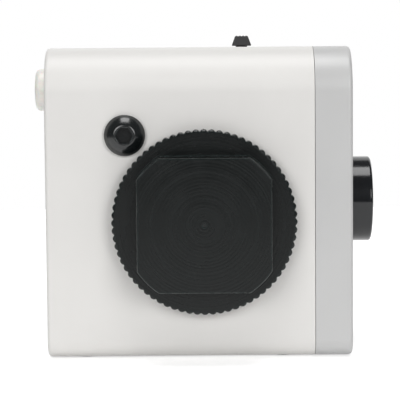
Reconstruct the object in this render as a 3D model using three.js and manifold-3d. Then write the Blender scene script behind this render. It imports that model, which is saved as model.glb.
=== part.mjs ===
// Motorised one-axis camera head: a box with a gear-driven turntable on its front face.
// Millimetres, +Z up, front face towards -Y. The origin is the middle of the footprint,
// on the surface that the rubber feet stand on.
import * as THREE from "three";
import { mergeVertices } from "three/addons/utils/BufferGeometryUtils.js";
import Module from "manifold-3d";

const wasm = await Module();
wasm.setup();

// ---- Driving dimensions -------------------------------------------------------------
// Case frame: x from the left face, y from the front face, z from the underside.
const GAP = 0.3; // clearance between pieces that touch
const CASE = { width: 79, depth: 58, height: 80, wall: 2.6 };
const CASE_ROUND = { top: 11.5, bottom: 4.5, end: 1, insideLeast: 1 };
const SEAM_X = 69.3; // the end cover starts here
const PROUD = { turntable: 14, dial: 7.2, button: 4.8, switchCap: 3, foot: 0.3 };
const MID_Y = CASE.depth / 2;

const OUTPUT = { x: 40.8, z: 35.6 }; // turntable axis, along Y
const TURNTABLE = { rim: 23.7, knurls: 72, knurlDepth: 0.6, back: 1.2, front: 5.4 };
const BOSS = { radius: 20.4, acrossFlats: 33.8 };
const WASHER_RADIUS = 15;
const SHAFT = { radius: 5, front: -9, back: 46.5, groove: 44.3, grooveWidth: 1.6, chamfer: 0.5 };
const CIRCLIP = { grip: 0.4, width: 2, halfMouth: 0.55 }; // the mouth is an angle in radians
const BEARING = { inner: 5.3, outer: 9.5, width: 5, race: 1.2, ball: 0.6, balls: 8 };
const CAGE_HALF = { across: 0.25, along: 0.3 };
const FRONT_BEARING_Y = 6;
const REAR_BEARING_Y = 29.5;
const HOUSING = { flange: 22, barrel: 13, front: 5.3, flangeBack: 8.3, back: 34.5 };
const HOUSING_SEAT = { thickness: 5, window: 7.5 }; // in the front wall, under the flange
const HOUSING_SCREW = { circle: 18, hole: 1.55, skin: 1.2 };

const GEAR = { module: 0.9, wheelTeeth: 45, pinionTeeth: 15, front: 38, back: 43, hub: 7.4 };
const GEAR_ANGLE = Math.PI / 4; // the pinion lies up and to the right of the wheel
const GEAR_CENTRES = (GEAR.module * (GEAR.wheelTeeth + GEAR.pinionTeeth)) / 2;
const PINION_OVERHANG = 0.4;
const PRESSURE_ANGLE = (20 * Math.PI) / 180;
const BACKLASH = 0.22;
const MOTOR = { radius: 9.8, front: 9, split: 22.6, back: 34.5, shaft: 2, shaftDepth: 5 };
const MOTOR_BOSS = { front: 3, back: 4, height: 1.2 };
const BRACKET = { front: 34.8, back: 36.3, big: 14, small: 11.2, shaftHole: 8, motorHole: 4.3 };
const BRACKET_SCREW = { circle: 11.4, hole: 1.1, clearance: 1.3, depth: 6 };
const MOTOR_SCREW = { circle: 7, hole: 1.3, depth: 4 };

const LOCK = { x: 20.6, z: 57.7, thread: 3, clearance: 0.35, tip: 33.6, tipChamfer: 0.6 };
const LOCK_HEAD = { radius: 5.25, height: 3.3, crown: 0.6, hexFlats: 4, hexDepth: 2.1 };
const LOCK_BOSS = { radius: 7.5, insert: 5.5, back: 12 };
const ARM = { front: 33.9, thickness: 0.8, width: 5.6, reach: 11 };
const ARM_POST = { radius: 3.4, hole: 1.5, holeDepth: 9 };
const PAD = { angle: (150 * Math.PI) / 180, distance: 17.2, radius: 1.9, back: 37.7 };

const DIAL = { z: 38.6, radius: 11.5, recess: 6.6, bore: 3.3, boreFloor: 1.8 };
const ENCODER = { bushing: 3.55, opening: 3.9, nutFlats: 10, nutBack: 2.3, halfBody: [6, 6.2], depth: 7.5 };
const ENCODER_SHAFT = { thin: 2.4, thick: 3, step: 2.9, depth: 4.5 };
const BUTTON = { z: 68.8, radius: 5.65, travel: 1, stem: -4.9, stemRadius: 2, collar: 1.4 };
const SWITCH_BODY_BACK = -10.4; // depth of the push button's switch behind the left face
const BUTTON_BOARD = { half: 5, thickness: 1 };
const SWITCH = { x: 51.2, base: 5.3, top: 3.3, length: 6, travel: 4 };
const SWITCH_STEM = { halfX: 1.5, halfY: 1.6, depth: 5.2, slotX: 1.8, slotY: 2 };
const SWITCH_BODY = { half: 4.2, depth: 6 };
const BUSH = { outer: 6.5, bore: 3.1, depth: 8, boreDepth: 7, chamfer: 0.6, bossWall: 2 };
const BATTERY = { x: 4.3, y: 8, z: 4.2, width: 12, depth: 40, height: 44, round: 3, tapeInset: 6 };
const BOARD = { x: 18, z: 47.5, width: 36, height: 27, front: 49.2, thickness: 1.6 };
const BOARD_SCREW = { insetX: 3, insetZ: 3.5, post: 2.6, hole: 1.3, clearance: 1.5 };
const USB = { x: 30, z: 62, width: 8.9, height: 3.2, wall: 0.35, tongue: 3.1 };
const FOOT = { radius: 4, recess: 1.2, thickness: 1.2, chamfer: 0.4, x: [10, 61], y: [9, 49] };
const COVER_SCREW = { inset: 6.4, boss: 4.3, shank: 1.25, head: 2.4, bossFrom: 55, sunk: 2.4 };

const ROUND = 22; // sides of a middling cylinder
const MEDIUM_ROUND = 24; // sides of one that shows
const SMALL_ROUND = 12; // sides of a small one

// ---- Materials ----------------------------------------------------------------------
const finish = (color, roughness, metalness = 0) =>
  new THREE.MeshStandardMaterial({ color, roughness, metalness });
const WHITE = finish(0xeeecea, 0.35);
const GREY = finish(0xc4c5c8, 0.45);
const BLACK_METAL = finish(0x202124, 0.35, 0.6);
const BLACK_PLASTIC = finish(0x18191b, 0.25);
const STEEL = finish(0xa8abb0, 0.3, 1);
const ALUMINIUM = finish(0xbfc2c6, 0.4, 1);
const BRASS = finish(0xc9a452, 0.3, 1);
const RUBBER = finish(0x26262a, 0.9);
const NYLON = finish(0xe6e2d4, 0.6);
const BOARD_GREEN = finish(0x1d5a3a, 0.5);
const BATTERY_BLUE = finish(0x2f4f86, 0.5);

// ---- Shape helpers ------------------------------------------------------------------
const X = new THREE.Vector3(1, 0, 0);
const Y = new THREE.Vector3(0, 1, 0);
const Z = new THREE.Vector3(0, 0, 1);
const EXTRUDE_ALONG_X = new THREE.Matrix4().makeBasis(Y, Z, X);

function toSolid(geometry) {
  const bare = geometry.clone();
  bare.deleteAttribute("normal");
  bare.deleteAttribute("uv");
  const merged = mergeVertices(bare, 1e-4);
  const vertProperties = new Float32Array(merged.attributes.position.array);
  const triVerts = new Uint32Array(merged.index.array);
  return new wasm.Manifold(new wasm.Mesh({ numProp: 3, vertProperties, triVerts }));
}

function toGeometry(body) {
  const mesh = body.getMesh();
  const geometry = new THREE.BufferGeometry();
  geometry.setAttribute("position", new THREE.BufferAttribute(mesh.vertProperties, 3));
  geometry.setIndex(new THREE.BufferAttribute(mesh.triVerts, 1));
  geometry.computeVertexNormals();
  return geometry;
}

/** Joins every geometry of `added` and takes every geometry of `removed` away. */
function shape(added, removed = []) {
  let body = toSolid(added[0]);
  added.slice(1).forEach((geometry) => (body = body.add(toSolid(geometry))));
  removed.forEach((geometry) => (body = body.subtract(toSolid(geometry))));
  return toGeometry(body);
}

/** A box given by its low and high corners. */
function block([x0, y0, z0], [x1, y1, z1]) {
  const geometry = new THREE.BoxGeometry(x1 - x0, y1 - y0, z1 - z0);
  return geometry.translate((x0 + x1) / 2, (y0 + y1) / 2, (z0 + z1) / 2);
}

/** A cylinder on the Y axis. */
function barY(radius, from, to, sides = ROUND) {
  const geometry = new THREE.CylinderGeometry(radius, radius, to - from, sides);
  return geometry.translate(0, (from + to) / 2, 0);
}

const barX = (radius, from, to, sides) => barY(radius, from, to, sides).rotateZ(-Math.PI / 2);
const barZ = (radius, from, to, sides) => barY(radius, from, to, sides).rotateX(Math.PI / 2);

/** A body turned about the Y axis from [radius, y] points. */
function turned(points, sides = ROUND) {
  const profile = points.map(([radius, y]) => new THREE.Vector2(radius, y));
  const closesOnItself = points[0][0] > 0;
  if (closesOnItself) profile.push(profile[0].clone());
  return new THREE.LatheGeometry(profile, sides);
}

const ringY = (inner, outer, from, to, sides) =>
  turned([[inner, from], [outer, from], [outer, to], [inner, to]], sides);

/** A flat outline in X and Z, thickened from y = `from` to y = `to`. */
function plateY(outline, from, to, curveSegments = 6) {
  const options = { depth: to - from, bevelEnabled: false, curveSegments };
  return new THREE.ExtrudeGeometry(outline, options).rotateX(Math.PI / 2).translate(0, to, 0);
}

/** Points at equal steps round a circle. */
function around(count, radius, start = 0) {
  const angle = (i) => start + (2 * Math.PI * i) / count;
  return Array.from({ length: count }, (_, i) => ({
    x: radius * Math.cos(angle(i)),
    z: radius * Math.sin(angle(i)),
  }));
}

function hexagon(acrossFlats, turn = 0) {
  const radius = acrossFlats / Math.sqrt(3);
  return new THREE.Shape(around(6, radius, turn).map(({ x, z }) => new THREE.Vector2(x, z)));
}

/** A rectangle in Y and Z with its upper and lower corners rounded differently. */
function caseSection(inset) {
  const [low, high] = [inset, CASE.depth - inset];
  const [floor, roof] = [inset, CASE.height - inset];
  const top = Math.max(CASE_ROUND.top - inset, CASE_ROUND.insideLeast);
  const bottom = Math.max(CASE_ROUND.bottom - inset, CASE_ROUND.insideLeast);
  const section = new THREE.Shape();
  section.moveTo(low + bottom, floor);
  section.lineTo(high - bottom, floor);
  section.absarc(high - bottom, floor + bottom, bottom, -Math.PI / 2, 0);
  section.lineTo(high, roof - top);
  section.absarc(high - top, roof - top, top, 0, Math.PI / 2);
  section.lineTo(low + top, roof);
  section.absarc(low + top, roof - top, top, Math.PI / 2, Math.PI);
  section.lineTo(low, floor + bottom);
  section.absarc(low + bottom, floor + bottom, bottom, Math.PI, 1.5 * Math.PI);
  return section;
}

/** The whole case as one rounded block, before it is hollowed and parted at the seam. */
function caseBlock() {
  const end = CASE_ROUND.end;
  const options = {
    depth: CASE.width - 2 * end,
    bevelThickness: end,
    bevelSize: end,
    bevelOffset: -end,
    bevelSegments: 2,
    curveSegments: 4,
  };
  const geometry = new THREE.ExtrudeGeometry(caseSection(0), options);
  return geometry.translate(0, 0, end).applyMatrix4(EXTRUDE_ALONG_X);
}

function caseCavity(from, to) {
  const options = { depth: to - from, bevelEnabled: false, curveSegments: 2 };
  const geometry = new THREE.ExtrudeGeometry(caseSection(CASE.wall), options);
  return geometry.translate(0, 0, from).applyMatrix4(EXTRUDE_ALONG_X);
}

const beyond = 1; // how far a cutting body runs past the face that it opens
const at = (geometry, x, y, z) => geometry.translate(x, y, z);

const coverScrewPlaces = [COVER_SCREW.inset, CASE.depth - COVER_SCREW.inset].flatMap((y) =>
  [COVER_SCREW.inset, CASE.height - COVER_SCREW.inset].map((z) => ({ y, z })),
);
const footPlaces = FOOT.x.flatMap((x) => FOOT.y.map((y) => ({ x, y })));
const housingScrewPlaces = around(3, HOUSING_SCREW.circle, Math.PI / 2);
const bracketScrewPlaces = around(3, BRACKET_SCREW.circle, Math.PI);
const motorScrewPlaces = around(2, MOTOR_SCREW.circle, GEAR_ANGLE + Math.PI / 2);
const motorAxis = {
  x: OUTPUT.x + GEAR_CENTRES * Math.cos(GEAR_ANGLE),
  z: OUTPUT.z + GEAR_CENTRES * Math.sin(GEAR_ANGLE),
};
const padPlace = {
  x: OUTPUT.x + PAD.distance * Math.cos(PAD.angle),
  z: OUTPUT.z + PAD.distance * Math.sin(PAD.angle),
};
const armLine = new THREE.Vector2(LOCK.x - padPlace.x, LOCK.z - padPlace.z).normalize();
const armAnchor = { x: LOCK.x + ARM.reach * armLine.x, z: LOCK.z + ARM.reach * armLine.y };
const boardScrewPlaces = [
  BOARD.x + BOARD_SCREW.insetX,
  BOARD.x + BOARD.width - BOARD_SCREW.insetX,
].map((x) => ({ x, z: BOARD.z + BOARD.height - BOARD_SCREW.insetZ }));

// ---- The case -----------------------------------------------------------------------
/** Seats, posts and screw bosses that stand inside the shell, each biting into its wall. */
function shellBosses() {
  const { depth, wall } = CASE;
  const [bite, backBite] = [wall - 1, depth - wall + 1];
  const bushBoss = BUSH.outer + BUSH.bossWall;
  const bushBossDepth = BUSH.depth + BUSH.bossWall;
  const boardBack = BOARD.front + BOARD.thickness + GAP;
  const armPost = barY(ARM_POST.radius, bite, ARM.front - GAP, SMALL_ROUND);
  return [
    at(barY(HOUSING.flange, bite, HOUSING_SEAT.thickness), OUTPUT.x, 0, OUTPUT.z),
    at(barY(LOCK_BOSS.radius, bite, LOCK_BOSS.back), LOCK.x, 0, LOCK.z),
    at(armPost, armAnchor.x, 0, armAnchor.z),
    at(barZ(bushBoss, bite, bushBossDepth), OUTPUT.x, MID_Y, 0),
    at(barY(bushBoss, depth - bushBossDepth, backBite), OUTPUT.x, 0, OUTPUT.z),
    ...boardScrewPlaces.map(({ x, z }) =>
      at(barY(BOARD_SCREW.post, boardBack, backBite, SMALL_ROUND), x, 0, z),
    ),
    ...coverScrewPlaces.map(({ y, z }) =>
      at(barX(COVER_SCREW.boss, COVER_SCREW.bossFrom, SEAM_X - GAP / 2, SMALL_ROUND), 0, y, z),
    ),
  ];
}

/** Openings for the controls, the sockets, the inlet, the feet and every screw. */
function shellHoles() {
  const { width, depth, height, wall } = CASE;
  const { slotX, slotY } = SWITCH_STEM;
  const seatBack = HOUSING_SEAT.thickness + beyond;
  const housingHole = () => barY(HOUSING_SCREW.hole, HOUSING_SCREW.skin, seatBack, SMALL_ROUND);
  const lockHole = barY(LOCK.thread + LOCK.clearance, -beyond, wall + beyond, MEDIUM_ROUND);
  const insertHole = barY(LOCK_BOSS.insert + GAP, wall, LOCK_BOSS.back + beyond, MEDIUM_ROUND);
  const armHole = barY(ARM_POST.hole, ARM.front - ARM_POST.holeDepth, ARM.front, SMALL_ROUND);
  const coverHole = () =>
    barX(COVER_SCREW.shank + GAP, COVER_SCREW.bossFrom + 4, width + beyond, SMALL_ROUND);
  return [
    at(barY(HOUSING_SEAT.window, -beyond, seatBack), OUTPUT.x, 0, OUTPUT.z),
    ...housingScrewPlaces.map(({ x, z }) => at(housingHole(), OUTPUT.x + x, 0, OUTPUT.z + z)),
    at(lockHole, LOCK.x, 0, LOCK.z),
    at(insertHole, LOCK.x, 0, LOCK.z),
    at(armHole, armAnchor.x, 0, armAnchor.z),
    at(barX(BUTTON.radius + GAP, -beyond, wall + beyond), 0, MID_Y, BUTTON.z),
    block(
      [SWITCH.x - SWITCH.travel - slotX, MID_Y - slotY, height - wall - beyond],
      [SWITCH.x + slotX, MID_Y + slotY, height + beyond],
    ),
    at(barZ(BUSH.outer + GAP, -beyond, BUSH.depth + GAP), OUTPUT.x, MID_Y, 0),
    at(barY(BUSH.outer + GAP, depth - BUSH.depth - GAP, depth + beyond), OUTPUT.x, 0, OUTPUT.z),
    at(usbSlot(GAP, depth - wall - beyond, depth + beyond), USB.x, 0, USB.z),
    ...boardScrewPlaces.map(({ x, z }) =>
      at(barY(BOARD_SCREW.hole, BOARD.front, depth - 2, SMALL_ROUND), x, 0, z),
    ),
    ...coverScrewPlaces.map(({ y, z }) => at(coverHole(), 0, y, z)),
    ...footPlaces.map(({ x, y }) =>
      at(barZ(FOOT.radius + GAP, -beyond, FOOT.recess, MEDIUM_ROUND), x, y, 0),
    ),
  ];
}

function mainShell() {
  const { width, depth, height, wall } = CASE;
  const past = width + beyond;
  const beyondSeam = block(
    [SEAM_X - GAP / 2, -beyond, -beyond],
    [past, depth + beyond, height + beyond],
  );
  const walls = shape([caseBlock()], [beyondSeam, caseCavity(wall, past)]);
  return shape([walls, ...shellBosses()], shellHoles());
}

function endCover() {
  const { width, depth, height, wall } = CASE;
  const { boss, shank, head, sunk } = COVER_SCREW;
  const beforeSeam = block(
    [-beyond, -beyond, -beyond],
    [SEAM_X + GAP / 2, depth + beyond, height + beyond],
  );
  const walls = shape([caseBlock()], [beforeSeam, caseCavity(SEAM_X - beyond, width - wall)]);
  const pillars = coverScrewPlaces.map(({ y, z }) =>
    at(barX(boss, SEAM_X + GAP / 2, width - wall + 1, SMALL_ROUND), 0, y, z),
  );
  const holes = [
    at(barX(ENCODER.opening, width - wall - beyond, width + beyond, MEDIUM_ROUND), 0, MID_Y, DIAL.z),
    ...coverScrewPlaces.flatMap(({ y, z }) => [
      at(barX(shank + GAP, SEAM_X - beyond, width, SMALL_ROUND), 0, y, z),
      at(barX(head + GAP, width - sunk, width + beyond, MEDIUM_ROUND), 0, y, z),
    ]),
  ];
  return shape([walls, ...pillars], holes);
}

/** Pan-head screw on the Y axis with its head's seat at y = 0 and a hexagon socket. */
function panScrew(shank, head, headHeight, length) {
  const socket = plateY(hexagon(head * 0.95), headHeight * 0.45, headHeight + beyond, 1);
  const body = turned(
    [[0, -length], [shank, -length], [shank, 0], [head, 0], [head, headHeight], [0, headHeight]],
    10,
  );
  return shape([body], [socket]);
}

function rubberFoot() {
  const { radius, thickness, chamfer } = FOOT;
  return turned([
    [0, 0], [radius - chamfer, 0], [radius, chamfer / 2], [radius, thickness], [0, thickness],
  ]);
}

/** A blind threaded bush with its mouth at y = 0, opening towards -Y. */
function tripodBush() {
  const { outer, bore, depth, boreDepth, chamfer } = BUSH;
  return turned([
    [0, boreDepth], [bore, boreDepth], [bore, chamfer], [bore + chamfer, 0], [outer, 0],
    [outer, depth], [0, depth],
  ], MEDIUM_ROUND);
}

// ---- Turntable and its bearings -----------------------------------------------------
function knurledOutline() {
  const { rim, knurls, knurlDepth } = TURNTABLE;
  const outline = new THREE.Shape();
  const perKnurl = 4;
  const steps = knurls * perKnurl;
  for (let i = 0; i < steps; i += 1) {
    const angle = (2 * Math.PI * i) / steps;
    const valley = Math.pow(Math.sin((Math.PI * i) / perKnurl), 2);
    const radius = rim - knurlDepth * valley;
    const [x, z] = [radius * Math.cos(angle), radius * Math.sin(angle)];
    if (i === 0) outline.moveTo(x, z);
    else outline.lineTo(x, z);
  }
  return outline;
}

/** A circle with four flats, which leaves an arc at each corner of the square. */
function bossOutline() {
  const halfFlat = BOSS.acrossFlats / 2;
  const flatEnd = Math.acos(halfFlat / BOSS.radius);
  const outline = new THREE.Shape();
  for (let quarter = 0; quarter < 4; quarter += 1) {
    const start = (quarter * Math.PI) / 2;
    outline.absarc(0, 0, BOSS.radius, start + flatEnd, start + Math.PI / 2 - flatEnd);
  }
  return outline;
}

function turntable() {
  const flange = plateY(knurledOutline(), -TURNTABLE.front, -TURNTABLE.back);
  const boss = plateY(bossOutline(), -PROUD.turntable, GAP - TURNTABLE.front);
  const shaftBore = barY(SHAFT.radius + GAP, SHAFT.front - GAP, 0);
  return shape([flange, boss], [shaftBore]);
}

function outputShaft() {
  const { radius, front, back, groove, grooveWidth, chamfer } = SHAFT;
  const grooveFloor = radius - CIRCLIP.grip - 0.4;
  const grooveEnd = groove + grooveWidth;
  return turned([
    [0, front], [radius - chamfer, front], [radius, front + chamfer], [radius, groove],
    [grooveFloor, groove], [grooveFloor, grooveEnd], [radius, grooveEnd],
    [radius, back - chamfer], [radius - chamfer, back], [0, back],
  ]);
}

function circlip() {
  const { radius, groove, grooveWidth } = SHAFT;
  const outline = new THREE.Shape();
  const [inner, outer] = [radius - CIRCLIP.grip, radius + CIRCLIP.width];
  const [start, end] = [CIRCLIP.halfMouth, 2 * Math.PI - CIRCLIP.halfMouth];
  outline.absarc(0, 0, outer, start, end);
  outline.absarc(0, 0, inner, end, start, true);
  return plateY(outline, groove + GAP, groove + grooveWidth - GAP, 14);
}

const innerRace = () => ringY(BEARING.inner, BEARING.inner + BEARING.race, 0, BEARING.width);
const outerRace = () => ringY(BEARING.outer - BEARING.race, BEARING.outer, 0, BEARING.width);

/** The balls of one bearing, carried by a thin round cage. */
function ballCage() {
  const track = (BEARING.inner + BEARING.outer) / 2;
  const middle = BEARING.width / 2;
  const { across, along } = CAGE_HALF;
  const cage = ringY(track - across, track + across, middle - along, middle + along, 16);
  const balls = around(BEARING.balls, track).map(({ x, z }) =>
    at(new THREE.IcosahedronGeometry(BEARING.ball), x, middle, z),
  );
  return shape([cage, ...balls]);
}

function bearingHousing() {
  const { flange, barrel, front, flangeBack, back } = HOUSING;
  const seat = BEARING.outer + GAP;
  const waist = BEARING.outer - BEARING.race;
  const frontSeat = FRONT_BEARING_Y + BEARING.width + GAP;
  const rearSeat = REAR_BEARING_Y - GAP;
  const body = turned([
    [seat, front], [flange, front], [flange, flangeBack], [barrel, flangeBack], [barrel, back],
    [seat, back], [seat, rearSeat], [waist, rearSeat], [waist, frontSeat], [seat, frontSeat],
  ]);
  const flangeHoles = housingScrewPlaces.map(({ x, z }) =>
    at(barY(HOUSING_SCREW.hole, front - beyond, flangeBack + beyond, SMALL_ROUND), x, 0, z),
  );
  const endHoles = bracketScrewPlaces.map(({ x, z }) =>
    at(barY(BRACKET_SCREW.hole, back - BRACKET_SCREW.depth, back + beyond, SMALL_ROUND), x, 0, z),
  );
  return shape([body], [...flangeHoles, ...endHoles]);
}

// ---- Gear train ---------------------------------------------------------------------
const involute = (angle) => Math.tan(angle) - angle;

/** Involute spur gear outline with its first tooth centred on `turn`. */
function gearOutline(teeth, turn) {
  const { module } = GEAR;
  const pitch = (module * teeth) / 2;
  const base = pitch * Math.cos(PRESSURE_ANGLE);
  const halfTooth = (Math.PI * module) / 4 - BACKLASH / 2;
  const halfAngle = (radius) => {
    const pressure = Math.acos(Math.min(base / radius, 1));
    return halfTooth / pitch + involute(PRESSURE_ANGLE) - involute(pressure);
  };
  const flank = [pitch - 1.25 * module, pitch - 0.2 * module, pitch + 0.9 * module];
  const side = (middle, facing) =>
    flank.map((radius) => {
      const angle = middle + facing * halfAngle(Math.max(radius, base));
      return new THREE.Vector2(radius * Math.cos(angle), radius * Math.sin(angle));
    });
  const tooth = (_, i) => {
    const middle = turn + (2 * Math.PI * i) / teeth;
    return [...side(middle, -1), ...side(middle, 1).reverse()];
  };
  return new THREE.Shape(Array.from({ length: teeth }, tooth).flat());
}

function outputGear() {
  const wheel = plateY(gearOutline(GEAR.wheelTeeth, GEAR_ANGLE), GEAR.front, GEAR.back);
  const hub = barY(GEAR.hub, BRACKET.front + 0.2, SHAFT.groove - GAP);
  const bore = barY(SHAFT.radius + GAP, BRACKET.front - beyond, SHAFT.groove + beyond);
  return shape([wheel, hub], [bore]);
}

function pinion() {
  const firstTooth = GEAR_ANGLE + Math.PI + Math.PI / GEAR.pinionTeeth;
  const outline = gearOutline(GEAR.pinionTeeth, firstTooth);
  const teeth = plateY(outline, GEAR.front - PINION_OVERHANG, GEAR.back + PINION_OVERHANG);
  return shape([teeth], [barY(MOTOR.shaft + GAP, 0, CASE.depth, SMALL_ROUND)]);
}

const pinionShaft = () =>
  barY(MOTOR.shaft, MOTOR.back - MOTOR.shaftDepth, GEAR.back + 1, SMALL_ROUND);

function motorCan() {
  const { radius, front, split } = MOTOR;
  const boss = MOTOR_BOSS.front;
  return turned([
    [0, front - 1], [boss, front - 1], [boss, front], [radius - 0.8, front],
    [radius, front + 0.8], [radius, split - GAP], [0, split - GAP],
  ]);
}

function gearbox() {
  const { radius, split, back, shaft, shaftDepth } = MOTOR;
  const [boss, bossEnd] = [MOTOR_BOSS.back, back + MOTOR_BOSS.height];
  const [bore, boreFloor] = [shaft + GAP, back - shaftDepth - GAP];
  const body = turned([
    [0, split], [radius, split], [radius, back], [boss, back], [boss, bossEnd], [bore, bossEnd],
    [bore, boreFloor], [0, boreFloor],
  ]);
  const threads = motorScrewPlaces.map(({ x, z }) =>
    at(barY(MOTOR_SCREW.hole, back - MOTOR_SCREW.depth, back + beyond, SMALL_ROUND), x, 0, z),
  );
  return shape([body], threads);
}

/** Plate on the rear of the bearing housing that carries the gear motor. */
function motorBracket() {
  const { big, small, shaftHole, motorHole } = BRACKET;
  const offset = { x: motorAxis.x - OUTPUT.x, z: motorAxis.z - OUTPUT.z };
  const lean = Math.acos((big - small) / GEAR_CENTRES);
  const outline = new THREE.Shape();
  outline.absarc(0, 0, big, GEAR_ANGLE + lean, GEAR_ANGLE - lean + 2 * Math.PI);
  outline.absarc(offset.x, offset.z, small, GEAR_ANGLE - lean, GEAR_ANGLE + lean);
  const plate = plateY(outline, BRACKET.front, BRACKET.back, 10);
  const hole = (radius, x, z) =>
    at(barY(radius, BRACKET.front - beyond, BRACKET.back + beyond, SMALL_ROUND), x, 0, z);
  return shape(
    [plate],
    [
      hole(shaftHole, 0, 0),
      hole(motorHole, offset.x, offset.z),
      ...bracketScrewPlaces.map(({ x, z }) => hole(BRACKET_SCREW.clearance, x, z)),
      ...motorScrewPlaces.map(({ x, z }) => hole(MOTOR_SCREW.hole, offset.x + x, offset.z + z)),
    ],
  );
}

// ---- Lock screw and brake -----------------------------------------------------------
/** Button-head screw on the Y axis; its dome is an ellipse from the seat to the flat crown. */
function lockScrew() {
  const { thread, tip, tipChamfer } = LOCK;
  const { radius, height, crown, hexFlats, hexDepth } = LOCK_HEAD;
  const seat = -GAP;
  const top = seat - height;
  const domeSteps = 5;
  const fall = 1 - crown * crown;
  const dome = Array.from({ length: domeSteps }, (_, i) => {
    const part = 1 - (i + 0.4) / domeSteps;
    return [radius * Math.sqrt(1 - part * part * fall), seat - height * part];
  });
  const body = turned([
    [0, top], [radius * crown, top], ...dome, [radius, seat], [thread, seat],
    [thread, tip - tipChamfer], [thread - tipChamfer, tip], [0, tip],
  ], MEDIUM_ROUND);
  return shape([body], [plateY(hexagon(hexFlats), top - beyond, top + hexDepth, 1)]);
}

const lockInsert = () =>
  ringY(LOCK.thread + GAP, LOCK_BOSS.insert, CASE.wall + GAP, LOCK_BOSS.back - 0.2, MEDIUM_ROUND);

/** Spring-steel strip from its anchor, past the lock screw's tip, to the brake pad. */
function brakeArm() {
  const { width, front, thickness } = ARM;
  const half = width / 2;
  const length = Math.hypot(armAnchor.x - padPlace.x, armAnchor.z - padPlace.z);
  const outline = new THREE.Shape();
  outline.absarc(0, 0, half, Math.PI / 2, 1.5 * Math.PI);
  outline.absarc(length, 0, half, -Math.PI / 2, Math.PI / 2);
  const strip = plateY(outline, front, front + thickness, 8);
  return shape([strip], [barY(ARM_POST.hole, front - beyond, front + 2 * thickness, SMALL_ROUND)]);
}

const brakePad = () => barY(PAD.radius, ARM.front + ARM.thickness + GAP, PAD.back);

// ---- Controls -----------------------------------------------------------------------
/** Dial about the Y axis, its outer face towards +Y, hollow underneath for the encoder's nut. */
function dial() {
  const { radius, recess, bore, boreFloor } = DIAL;
  const face = PROUD.dial;
  const ceiling = ENCODER_SHAFT.step;
  return turned([
    [0, face - boreFloor], [bore, face - boreFloor], [bore, ceiling], [recess, ceiling],
    [recess, GAP], [radius, GAP], [radius, face - 1.1], [radius - 0.7, face - 0.4],
    [radius * 0.7, face - 0.1], [0, face],
  ], 32);
}

function encoderNut() {
  const hole = barY(ENCODER.opening, 0, ENCODER.nutBack + beyond, MEDIUM_ROUND);
  return shape([plateY(hexagon(ENCODER.nutFlats), GAP, ENCODER.nutBack, 1)], [hole]);
}

function dialEncoder() {
  const { wall } = CASE;
  const [halfX, halfZ] = ENCODER.halfBody;
  const body = block([-halfX, -wall - ENCODER.depth, -halfZ], [halfX, -wall - GAP, halfZ]);
  const bushing = barY(ENCODER.bushing, -wall - 1, ENCODER.nutBack + GAP, MEDIUM_ROUND);
  const shaftDepth = ENCODER_SHAFT.depth + 0.5;
  const bore = barY(ENCODER_SHAFT.thin + GAP, -wall - shaftDepth, 3, SMALL_ROUND);
  return shape([body, bushing], [bore]);
}

function encoderShaft() {
  const { thin, thick, step, depth } = ENCODER_SHAFT;
  const [inner, outer] = [-CASE.wall - depth, PROUD.dial - DIAL.boreFloor - GAP];
  return turned([
    [0, inner], [thin, inner], [thin, step], [thick, step], [thick, outer], [0, outer],
  ], SMALL_ROUND);
}

/** Push button about the Y axis, pressed towards -Y. */
function pushButton() {
  const { radius, stem, stemRadius } = BUTTON;
  const face = PROUD.button;
  const [collar, collarTop] = [radius + BUTTON.collar, -CASE.wall - 0.5];
  return turned([
    [0, stem], [stemRadius, stem], [stemRadius, collarTop - 1], [collar, collarTop - 1],
    [collar, collarTop], [radius, collarTop], [radius, face - 1.8], [radius * 0.93, face - 0.9],
    [radius * 0.75, face - 0.25], [0, face],
  ]);
}

function buttonSwitch() {
  const plungerTop = BUTTON.stem - BUTTON.travel - GAP;
  const body = block([-3, SWITCH_BODY_BACK, -3], [3, plungerTop - 0.8, 3]);
  return shape([body, barY(1.7, plungerTop - 2, plungerTop, SMALL_ROUND)]);
}

function buttonBoard() {
  const { half, thickness } = BUTTON_BOARD;
  const top = SWITCH_BODY_BACK - GAP;
  return block([-half, top - thickness, -half], [half, top, half]);
}

function slideSwitchCap() {
  const { base, top, length } = SWITCH;
  const foot = GAP;
  const outline = new THREE.Shape([
    new THREE.Vector2(-base / 2, foot),
    new THREE.Vector2(base / 2, foot),
    new THREE.Vector2(base / 2, foot + 0.4),
    new THREE.Vector2(top / 2, PROUD.switchCap),
    new THREE.Vector2(-top / 2, PROUD.switchCap),
    new THREE.Vector2(-base / 2, foot + 0.4),
  ]);
  const cap = plateY(outline, -length / 2, length / 2, 1);
  const { halfX, halfY, depth } = SWITCH_STEM;
  return shape([cap, block([-halfX, -halfY, -depth], [halfX, halfY, foot + 0.7])]);
}

function slideSwitchBody() {
  const { half, depth } = SWITCH_BODY;
  const { slotX, slotY } = SWITCH_STEM;
  const top = -CASE.wall - GAP;
  const low = -SWITCH.travel - half;
  const slotLow = -SWITCH.travel - slotX;
  const slot = block([slotLow, -slotY, -SWITCH_STEM.depth - 0.8], [slotX, slotY, top + beyond]);
  return shape([block([low, -half, top - depth], [half, half, top])], [slot]);
}

// ---- Electrics ----------------------------------------------------------------------
function usbSlot(grow, from, to) {
  const [halfWidth, halfHeight] = [USB.width / 2 + grow, USB.height / 2 + grow];
  const straight = halfWidth - halfHeight;
  const outline = new THREE.Shape();
  outline.absarc(straight, 0, halfHeight, -Math.PI / 2, Math.PI / 2);
  outline.absarc(-straight, 0, halfHeight, Math.PI / 2, 1.5 * Math.PI);
  return plateY(outline, from, to, 6);
}

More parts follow.
